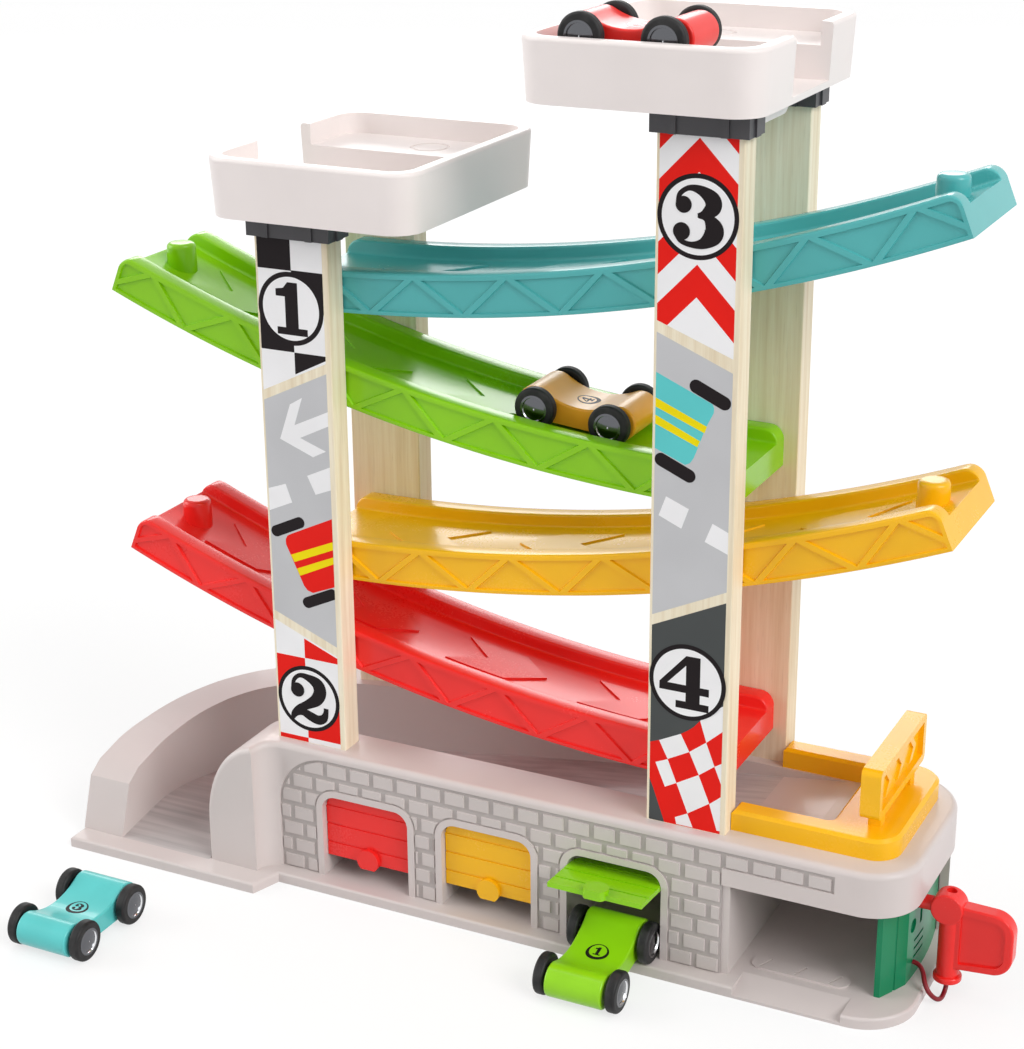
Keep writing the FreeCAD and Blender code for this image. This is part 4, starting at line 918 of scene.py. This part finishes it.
# Painted shade: the blocks a little darker than the base, the joint ground darker still.
plastic("block_painted_shade", rgb(204, 195, 192), 0.36, 0.03, 0.06)
plastic("joint_painted_shade", rgb(184, 176, 173), 0.5, 0.03, 0.0)


def trimmed(piece, inset, wider):
    """The piece's mesh after the cuts; the piece and its cutters are removed."""
    arches = prisms("arches", [arch_outline(x, wider) for x in ARCH_CENTRES], *ARCH_CUT)
    keep = prisms("keep", [field_outline(inset)], *FIELD_CUT)
    for cutter, how in ((arches, "DIFFERENCE"), (keep, "INTERSECT")):
        cut = piece.modifiers.new("trim", "BOOLEAN")
        cut.operation = how
        cut.solver = "EXACT"
        cut.object = cutter
    seen = piece.evaluated_get(bpy.context.evaluated_depsgraph_get())
    mesh = bpy.data.meshes.new_from_object(seen)
    for spare in (piece, arches, keep):
        bpy.data.objects.remove(spare)
    return mesh


ground = prisms("ground", [field_outline(-GROUND_REACH)], JOINT_PLANE, JOINT_PLANE + GROUND_THICKNESS)
blocks = prisms("blocks", block_outlines(), BLOCK_FACE, JOINT_PLANE + BLOCK_ROOT, BLOCK_SLANT)
wall = bmesh.new()
for index, part in enumerate((trimmed(ground, -GROUND_CUT, -GROUND_ARCH_REACH),
                              trimmed(blocks, BLOCK_MARGIN, BLOCK_ARCH_GAP))):
    part.polygons.foreach_set("material_index", [index] * len(part.polygons))
    wall.from_mesh(part)
    bpy.data.meshes.remove(part)
brickwork = from_bmesh("brickwork", wall)
for name in ("joint_painted_shade", "block_painted_shade"):
    brickwork.data.materials.append(finishes[name])
carried(brickwork)
print("faces of the brickwork:", len(brickwork.data.polygons))

# %% [markdown]
# Behind the first bay the run-out slope is lower than the top of the arch. A thin
# sheet closes the channel's inner wall there, so that no wheel drops into the bay.

# %% Close the first bay towards the channel
CHANNEL_FACE = 24.163
SHEET_THICKNESS, SHEET_SINK, SHEET_NARROWER = 0.55, 0.05, 2.6

near_side = CHANNEL_FACE - SHEET_SINK - SHEET_THICKNESS
bay_back = prisms("bay_back", [arch_outline(ARCH_CENTRES[0], -SHEET_NARROWER)],
                  near_side, CHANNEL_FACE - SHEET_SINK)
bay_back.data.materials.append(finishes["base_plastic_painted_shade"])
carried(bay_back)

# %% [markdown]
# ## Printed boards
# The two front boards carry a printed sheet each: checks, chevrons, a road with a
# toy car seen from above, and a number in a ring. A print has crisp edges, which an
# image would blur, so each patch of ink is a real sheet a few hundredths of a
# millimetre thick, and later colours lie a hair above earlier ones. We draw in
# the plane of the boards: x from the left edge of the left one and z up from the
# ground, in millimetres.

# %% Inks
def ink(name, colour):
    f = Finish(name, IOR=1.5, Specular_IOR_Level=0.12)
    fibre = f.noise(1100, 3, (1, 1, 0.3))
    cloud = f.ramp(f.noise(30, 2), 0.35, 0.65)
    f.feed(Base_Color=f.blend(cloud, scaled(colour, 0.965), scaled(colour, 1.02)),
           Roughness=fibre * 0.1 + 0.37)
    f.bump(fibre, 0.04)


INK_COLOURS = {"white_ink": (243, 242, 243), "black_ink": (30, 24, 26), "road_ink": (197, 197, 199),
               "asphalt_ink": (76, 79, 79), "red_ink": (232, 30, 22), "teal_ink": (98, 204, 204),
               "yellow_ink": (243, 222, 10)}
for name, colour in INK_COLOURS.items():
    ink(name, rgb(*colour))
INKS = list(INK_COLOURS)
print("inks:", len(INKS))

# %% [markdown]
# A small class collects the patches of one print and builds a single mesh. Shapes
# stay flat outlines until the end, so they can still be clipped to the printed
# width. Hollow outlines, such as a bent arrow, are cut into triangles while they are
# still flat and in millimetres, where rounding errors stay harmless.

# %% Print sheet
SHEET_LIFT = 0.03
LAYER_STEP = 0.012
SHEET_ROOT = -0.005
NUMERAL_STEP = 0.1


def clipped(outline, axis, level, keep_above):
    """The part of an outline on one side of a line across the board."""
    kept = []
    for a, b in sides(outline):
        a_in = (a[axis] >= level) == keep_above
        b_in = (b[axis] >= level) == keep_above
        if a_in:
            kept.append(a)
        if a_in != b_in:
            t = (level - a[axis]) / (b[axis] - a[axis])
            kept.append((a[0] + t * (b[0] - a[0]), a[1] + t * (b[1] - a[1])))
    return kept


class PrintSheet:
    def __init__(self, name, body, place):
        self.name = name
        self.body = body
        self.place = place
        self.patches = []
        self.layer = 0

    def patch(self, colour, *outlines):
        self.patches += [(colour, outline, self.layer) for outline in outlines]

    def next_layer(self):
        self.layer += 1

    def number(self, colour, outlines):
        """The parts of a numeral overlap, so each lies a hair above the one before."""
        for patches in outlines:
            self.patch(colour, *patches)
            self.layer += NUMERAL_STEP

    def build(self, palette):
        mesh = bmesh.new()
        for colour, outline, layer in self.patches:
            if signed_area(outline) < 0:
                outline = outline[::-1]
            height = SHEET_LIFT + layer * LAYER_STEP
            top = [mesh.verts.new(Vector(self.place(x, z, height)) * MM) for x, z in outline]
            foot = [mesh.verts.new(Vector(self.place(x, z, SHEET_ROOT)) * MM) for x, z in outline]
            faces = []
            for corners in tessellate_polygon([[Vector((x, z, 0)) for x, z in outline]]):
                turn = signed_area([outline[i] for i in corners])
                if turn < 0:
                    corners = corners[::-1]
                if turn != 0:
                    faces.append(mesh.faces.new([top[i] for i in corners]))
            for i in range(len(top)):
                j = (i + 1) % len(top)
                faces.append(mesh.faces.new((foot[i], foot[j], top[j], top[i])))
            for face in faces:
                face.material_index = palette.index(colour)
        piece = from_bmesh(self.name, mesh)
        for colour in palette:
            piece.data.materials.append(finishes[colour])
        carried(piece, self.body)
        print(self.name, "patches:", len(self.patches), "faces:", len(piece.data.polygons))


# %% [markdown]
# ## Shapes for the prints
# A ring is drawn as a dark disc with a light one on top, as a printer would. The
# numerals are the broad kind with ball ends, and a pen stroke of changing width
# draws every curve of them: each point of the stroke carries its own half width,
# and a smooth curve runs through them all.

# %% Shape helpers
def disc(x, z, radius, count=72):
    return [(x + radius * math.cos(2 * math.pi * i / count),
             z + radius * math.sin(2 * math.pi * i / count)) for i in range(count)]


def capsule(a, b, radius, count=14):
    """A tyre seen from above: a bar with round ends."""
    heading = math.atan2(b[1] - a[1], b[0] - a[0])
    points = []
    for middle, start in ((b, heading - math.pi / 2), (a, heading + math.pi / 2)):
        for i in range(count + 1):
            turn = start + math.pi * i / count
            points.append((middle[0] + radius * math.cos(turn), middle[1] + radius * math.sin(turn)))
    return points


def smooth_between(p, q, r, s, t):
    """A value between q and r, on the curve that also looks at p and s."""
    return 0.5 * (2 * q + (r - p) * t + (2 * p - 5 * q + 4 * r - s) * t * t
                  + (3 * q - p - 3 * r + s) * t ** 3)


def pen_stroke(points, steps=8):
    """A stroke through (x, z, half width) points, as patches that never fold over."""
    ends = [points[0]] + points + [points[-1]]
    line = []
    for p, q, r, s in zip(ends, ends[1:], ends[2:], ends[3:]):
        for i in range(steps):
            line.append([smooth_between(p[k], q[k], r[k], s[k], i / steps) for k in range(3)])
    line.append(points[-1])
    one, other = [], []
    for i, (x, z, half) in enumerate(line):
        before = line[max(i - 1, 0)]
        after = line[min(i + 1, len(line) - 1)]
        dx, dz = after[0] - before[0], after[1] - before[1]
        size = math.hypot(dx, dz)
        one.append((x - dz / size * half, z + dx / size * half))
        other.append((x + dz / size * half, z - dx / size * half))
    return [[one[i], one[i + 1], other[i + 1], other[i]] for i in range(len(line) - 1)]


def rectangle(left, right, low, top):
    return [(left, top), (left, low), (right, low), (right, top)]


# %% [markdown]
# ## Numerals
# Each numeral is drawn round its own middle, 24 mm tall, and then put in its ring.
# The straight ones are outlines; the curved ones are strokes with discs for their
# ball ends.

# %% Numerals
NUMERALS = {
    1: [[(-7.3, 8.3), (-3.6, 8.9), (-1.3, 11.6), (3.6, 11.6), (3.6, -11.6), (-2.8, -11.6),
         (-2.8, 5.2), (-7.3, 5.2)],
        [(-7.1, -8.4), (-2.8, -8.4), (-2.8, -11.6), (-7.1, -11.6)],
        [(3.6, -8.4), (8.0, -8.4), (8.0, -11.6), (3.6, -11.6)]],
    2: (pen_stroke([(-8.1, 4.1, 1.1), (-7.4, 8.3, 1.0), (-4.2, 11.0, 1.1), (0.2, 10.5, 1.8),
                    (4.8, 8.3, 3.1), (6.2, 4.6, 3.3), (4.2, 0.4, 3.0), (-0.4, -2.9, 2.2),
                    (-5.4, -5.7, 1.6), (-8.1, -8.5, 1.3), (-9.0, -10.9, 0.9)])
        + pen_stroke([(-8.8, -11.3, 0.7), (-6.8, -8.3, 1.5), (-3.4, -7.1, 1.9), (0.6, -8.6, 2.3),
                      (4.6, -9.7, 2.3), (7.6, -8.4, 2.0), (8.9, -5.5, 1.3), (9.1, -3.2, 1.2)])
        + [disc(-5.7, 3.6, 3.5, 40)]),
    3: (pen_stroke([(-8.3, 5.3, 0.9), (-7.4, 8.6, 1.0), (-3.6, 11.0, 1.1), (1.4, 10.2, 2.0),
                    (5.7, 7.2, 3.3), (6.0, 4.0, 3.3), (2.9, 1.2, 2.0), (0.0, 0.5, 0.9)])
        + pen_stroke([(0.0, 0.7, 0.9), (3.8, 0.0, 1.8), (6.6, -3.6, 3.7), (6.2, -6.9, 3.8),
                      (2.4, -10.1, 2.2), (-2.2, -11.0, 1.2), (-6.7, -9.9, 1.0), (-9.0, -7.0, 1.0)])
        + [disc(-5.9, 4.4, 3.3, 40), disc(-6.6, -6.1, 3.5, 40)]),
    4: [[(-0.6, 12.0), (5.7, 12.0), (5.7, -12.0), (-0.6, -12.0)],
        [(-12.4, -1.3), (-12.4, -4.8), (9.7, -4.8), (9.7, -1.3)],
        [(-5.0, -8.7), (-5.0, -12.0), (9.7, -12.0), (9.7, -8.7)],
        [(-12.4, -1.3), (-8.8, -1.3), (-0.6, 7.6), (-0.6, 12.0)]],
}


def ringed_number(sheet, number, x, z, radius, thickness):
    """A racing number: ring, light middle, and the numeral on top."""
    sheet.next_layer()
    sheet.patch("black_ink", disc(x, z, radius))
    sheet.next_layer()
    sheet.patch("white_ink", disc(x, z, radius - thickness))
    sheet.next_layer()
    sheet.number("black_ink", [[[(px + x, pz + z) for px, pz in outline]]
                               for outline in NUMERALS[number]])


# %% [markdown]
# ## The left board's print
# From the top: black checks behind the 1, a grey road with a bent arrow, two dashes
# and a red toy car, and red checks behind the 2. Slanting bands of bare wood part
# the three. L0 and L1 are the edges of the print.

# %% Left print
BOARD_FACE_Y = 6.663
BOARDS_LEFT = -117.725


def on_board(x, z, height):
    return (BOARDS_LEFT + x, BOARD_FACE_Y - height, z)


left_print = PrintSheet("print_left", "ramp", on_board)
L0, L1 = 1.2, 33.3
LEFT_TOP, PRINT_FOOT = 304.6, 68.6
BLACK_COLUMN, RED_COLUMN = 17.8, 16.2
left_print.patch("white_ink", [(L0, LEFT_TOP), (L0, 236), (L1, 251.5), (L1, LEFT_TOP)])
left_print.patch("road_ink", [(L0, 231.5), (L0, 132), (L1, 119.3), (L1, 247)])
left_print.patch("white_ink", [(L0, 127.6), (L0, PRINT_FOOT), (L1, PRINT_FOOT), (L1, 114.6)])
left_print.next_layer()
left_print.patch("black_ink",
                 rectangle(L0, BLACK_COLUMN, 290.7, LEFT_TOP),
                 rectangle(BLACK_COLUMN, L1, 273, 291),
                 rectangle(L0, BLACK_COLUMN, 254.8, 273),
                 [(BLACK_COLUMN, 254.8), (BLACK_COLUMN, 245), (L1, 252.8), (L1, 254.8)])
left_print.patch("white_ink",
                 [(8.5, 214.5), (14.3, 231), (20.6, 234.8), (16.2, 221.8), (L1, 230), (L1, 223.5),
                  (18.8, 216.3), (31.6, 211.8), (25, 208.3)],
                 [(21.5, 199.2), (L1, 204.8), (L1, 194.2), (25.5, 191)],
                 [(L0, 190.5), (10.2, 193.8), (13.2, 185.5), (L0, 180)])
left_print.patch("red_ink",
                 [(RED_COLUMN, 120.6), (L1, 113.8), (L1, 111), (RED_COLUMN, 111)],
                 rectangle(L0, RED_COLUMN, 91, 110.8),
                 rectangle(RED_COLUMN, L1, 71, 91),
                 rectangle(L0, RED_COLUMN, PRINT_FOOT, 70.8),
                 [(L1, 180.8), (12, 170.5), (9.8, 169.2), (8.9, 167.4), (9, 165),
                  (17.5, 146.5), (19.2, 144.6), (22, 143.8), (L1, 148.5)])
left_print.next_layer()
left_print.patch("yellow_ink",
                 [(11.3, 160.4), (L1, 170), (L1, 166.2), (13, 157.2)],
                 [(14.1, 154.2), (L1, 162.8), (L1, 159.5), (15.6, 151)])
for start, end in (((4.2, 170.6), (16.5, 176.5)), ((19, 138.6), (32, 144.8))):
    left_print.patch("black_ink", clipped(capsule(start, end, 2.6), 0, L1, False))
ringed_number(left_print, 1, 17, 274, 16.2, 2.2)
ringed_number(left_print, 2, 17.3, 90.8, 16.2, 1.9)
left_print.build(INKS)

# %% [markdown]
# ## The right board's print
# Red chevrons climb behind the 3. One loop draws both halves of each and clips them
# to the top and to the slanting foot of their field. Below are the road with a teal
# toy car, a dark field with the 4, and a waving checked flag. R0 and R1 are the
# edges of the print, and RM is its middle.

# %% Right print
right_print = PrintSheet("print_right", "ramp", on_board)
R0, R1 = 185.8, 218.1
RM = 202.2
RIGHT_TOP = 362.2
SLANT = ((R0, 288.6), (R1, 276.4))
CHEVRON_SLOPE = 1.04
CHEVRON_TOPS = (386.0, 361.5, 337.0, 312.5)
CHEVRON_DEPTH = 13.0
right_print.patch("white_ink", [(R0, RIGHT_TOP), *SLANT, (R1, RIGHT_TOP)])
right_print.patch("road_ink", [(R0, 283.9), (R0, 163.4), (R1, 178.7), (R1, 270.7)])
right_print.patch("asphalt_ink", [(R0, 158.7), (R0, PRINT_FOOT), (R1, PRINT_FOOT), (R1, 174)])
right_print.next_layer()


def above_slant(outline, a, b):
    """Keeps what lies above the line from a to b, by shearing it level and back."""
    tilt = (b[1] - a[1]) / (b[0] - a[0])
    level = [(x, z - tilt * (x - a[0])) for x, z in outline]
    return [(x, z + tilt * (x - a[0])) for x, z in clipped(level, 1, a[1], True)]


def chevron_half(peak, edge):
    """Half of a chevron from the middle line to one edge, clipped to its field."""
    low = peak - CHEVRON_SLOPE * abs(edge - RM)
    half = [(RM, peak), (RM, peak - CHEVRON_DEPTH), (edge, low - CHEVRON_DEPTH), (edge, low)]
    return above_slant(clipped(half, 1, RIGHT_TOP, False), *SLANT)


halves = [chevron_half(peak, edge) for peak in CHEVRON_TOPS for edge in (R0, R1)]
right_print.patch("red_ink", *[half for half in halves if len(half) > 2])
right_print.patch("white_ink",
                  [(191, 215.9), (201, 211.9), (197.9, 203), (187.9, 207.3)],
                  [(211.3, 207.3), (R1, 204.4), (R1, 195.1), (208.1, 199)])
right_print.patch("teal_ink", [(R0, 267.5), (210.0, 257.2), (210.7, 255.7), (210.6, 253.6),
                               (207.4, 247.1), (204.6, 239.3), (202.6, 233.8), (201, 231.4),
                               (198.9, 230.4), (R0, 235.7)])
right_print.patch("red_ink", [(R0, 105.1), (189.6, 106.6), (194.8, 108.9), (199.6, 111.6),
                              (202.8, 113.8), (205.3, 115.9), (208.1, 119.4), (212.0, 123.4),
                              (R1, 128.0), (R1, PRINT_FOOT), (192.9, PRINT_FOOT), (187.5, 84),
                              (R0, 88)])
right_print.next_layer()
right_print.patch("yellow_ink",
                  [(R0, 256.9), (207.9, 247.6), (206.9, 244.8), (R0, 253.1)],
                  [(R0, 249.7), (205.1, 241.2), (204.0, 238.6), (R0, 246)])
right_print.patch("black_ink", capsule((203, 263.6), (214.9, 258.2), 2.85),
                  capsule((188.65, 231.2), (200.7, 226), 2.85))
right_print.patch("white_ink",
                  [(189.9, 106.7), (199.6, 111.6), (203.6, 104), (193.9, 98.7)],
                  [(188.4, 96.1), (193.9, 98.6), (198.1, 88.3), (192.9, 85.4)],
                  [(203.6, 104), (211, 109.9), (215, 99.6), (208.1, 94.2)],
                  [(208.1, 119.4), (212.0, 123.4), (R1, 128.0), (R1, 116.3), (211.1, 109.9)],
                  [(198.1, 88.3), (208.0, 94.2), (213.1, 81.9), (203.4, 75.1)],
                  [(215, 99.6), (R1, 101.6), (R1, 92)],
                  [(213.1, 81.7), (R1, 86), (R1, 70), (216.7, 70)],
                  [(197.7, 72), (203.3, 75.0), (205.9, 68.9), (198.4, 68.9)])
ringed_number(right_print, 3, 202.05, 331.1, 16.8, 1.9)
ringed_number(right_print, 4, 202.05, 135.6, 17.0, 1.9)
right_print.build(INKS)

# %% [markdown]
# ## Racing numbers on the cars
# Each car carries a printed ring and number on its hollow back. The back is part of
# a large circle, so the print is drawn flat and then bent onto that circle: a place
# along the car gives the height of the wood there. Shapes cut into narrow strips
# follow the bend without creases.

# %% Car prints
CAR_WAIST = 12.0
CAR_END_X = 19.75
CAR_END_Z = 9.6
CAR_END_RADIUS = 7.6
STRIP_WIDTH = 0.9
RING_RADIUS, RING_FIELD, RING_SHIFT = 5.1, 3.9, -0.75
NUMERAL_SCALE = 0.22
SADDLE_Z = ((CAR_END_X ** 2 + CAR_END_Z ** 2 - (CAR_WAIST - CAR_END_RADIUS) ** 2)
            / (2 * (CAR_END_Z - CAR_WAIST + CAR_END_RADIUS)))
SADDLE_RADIUS = SADDLE_Z - CAR_WAIST


def strips(outline):
    """An outline cut into narrow strips across the car."""
    pieces = []
    edge = min(point[0] for point in outline)
    high = max(point[0] for point in outline)
    while edge < high:
        part = clipped(clipped(outline, 0, edge, True), 0, edge + STRIP_WIDTH, False)
        if len(part) > 2:
            pieces.append(part)
        edge += STRIP_WIDTH
    return pieces


def number_car(colour, number, tint="black_ink"):
    placed = car_matrix(colour)
    paint = colour + "_paint"

    def on_back(x, z, height):
        saddle = SADDLE_Z - math.sqrt(SADDLE_RADIUS ** 2 - x * x)
        return placed @ Vector((x, z, saddle + height))

    sheet = PrintSheet("print_car_" + colour, colour + "_car", on_back)
    sheet.patch(tint, *strips(disc(0, 0, RING_RADIUS, 60)))
    sheet.next_layer()
    sheet.patch(paint, *strips(disc(RING_SHIFT, 0, RING_FIELD, 48)))
    sheet.next_layer()
    turned = [[(RING_SHIFT - z * NUMERAL_SCALE, x * NUMERAL_SCALE) for x, z in outline]
              for outline in NUMERALS[number]]
    sheet.number(tint, [strips(outline) for outline in turned])
    sheet.build([tint, paint])


number_car("teal", 3)
number_car("green", 1)
number_car("red", 2, "white_ink")
number_car("orange", 4)

# %% [markdown]
# ## Floor, backdrop and light
# The toy stands on a pale floor in front of nothing but white. To the toy the floor
# is light grey, so it doesn't light the undersides too much, while camera and mirror
# rays see it as white. For those rays a plain white glow is mixed in too, which thins
# the shadow under the toy. A wide lamp on the right is the key and a weaker one fills
# from the left. A narrow one overhead and a low one behind the toy are for the gloss:
# tops seen at a slant mirror the one behind, which draws the pale line along every
# rim. The two wide lamps are suns: their light falls evenly, and a wide angle
# softens the shadows.

# %% Studio floor
FLOOR_SIZE = 40.0
SHADOW_THINNING = 0.7
WHITE = (1, 1, 1, 1)


def white_floor():
    f = Finish("white_floor", Roughness=0.7, Specular_IOR_Level=0.2)
    pale = f.blend(f.ramp(f.noise(3, 2), 0.3, 0.7), rgb(204, 204, 206), rgb(208, 208, 209))
    shown = f.seen_directly()
    f.feed(Base_Color=f.blend(shown, pale, rgb(253, 253, 253)))
    body = Value(f, f.shader.outputs[0])
    glow = f.add("ShaderNodeEmission", {"Color": WHITE, "Strength": 1.0})
    mixed = f.add("ShaderNodeMixShader", {0: shown * SHADOW_THINNING, 1: body, 2: glow})
    f.put(f.tree.nodes["Material Output"].inputs["Surface"], mixed)
    return f.material


half = FLOOR_SIZE / 2
sheet = bpy.data.meshes.new("floor")
sheet.from_pydata([(-half, -half, 0), (half, -half, 0), (half, half, 0), (-half, half, 0)], [],
                  [(0, 1, 2, 3)])
floor = linked("floor", sheet)
floor.data.materials.append(white_floor())

# %% Light
WORLD_LIGHT = 0.5
world = bpy.data.worlds.new("soft_white")
bpy.context.scene.world = world
world.use_nodes = True
sky = Graph(world.node_tree)
lit = sky.tree.nodes["Background"]
lit.inputs["Color"].default_value = WHITE
lit.inputs["Strength"].default_value = WORLD_LIGHT
shown = sky.add("ShaderNodeBackground", {"Color": WHITE, "Strength": 1.0})
choice = sky.add("ShaderNodeMixShader", {0: sky.seen_directly(), 1: Value(sky, lit.outputs[0]),
                                         2: shown})
sky.put(sky.tree.nodes["World Output"].inputs["Surface"], choice)


def lamp(name, kind, place, power, spread):
    """A lamp that looks at the toy: spread is a sun's angle, or a strip's two sides."""
    data = bpy.data.lights.new(name, kind)
    data.energy = power
    if kind == "SUN":
        data.angle = math.radians(spread)
    else:
        data.shape = "RECTANGLE"
        data.size, data.size_y = spread
    holder = linked(name, data)
    holder.location = place
    holder.rotation_euler = Vector(place).to_track_quat("Z", "Y").to_euler()


lamp("key_lamp", "SUN", (0.45, -0.16, 0.33), 1.82, 35)
lamp("fill_lamp", "SUN", (-0.5, -0.16, 0.2), 1.5, 45)
lamp("top_lamp", "AREA", (0, 0.05, 1.5), 2.0, (1.6, 0.15))
lamp("rim_lamp", "AREA", (-1.04, 2.1, 1.1), 11.0, (1.5, 0.5))
bpy.context.scene.view_settings.view_transform = "Standard"
print("studio ready")

# %% [markdown]
# ## Closing
# The last cell brings the view layer up to date.

# %% Finish
bpy.context.view_layer.update()
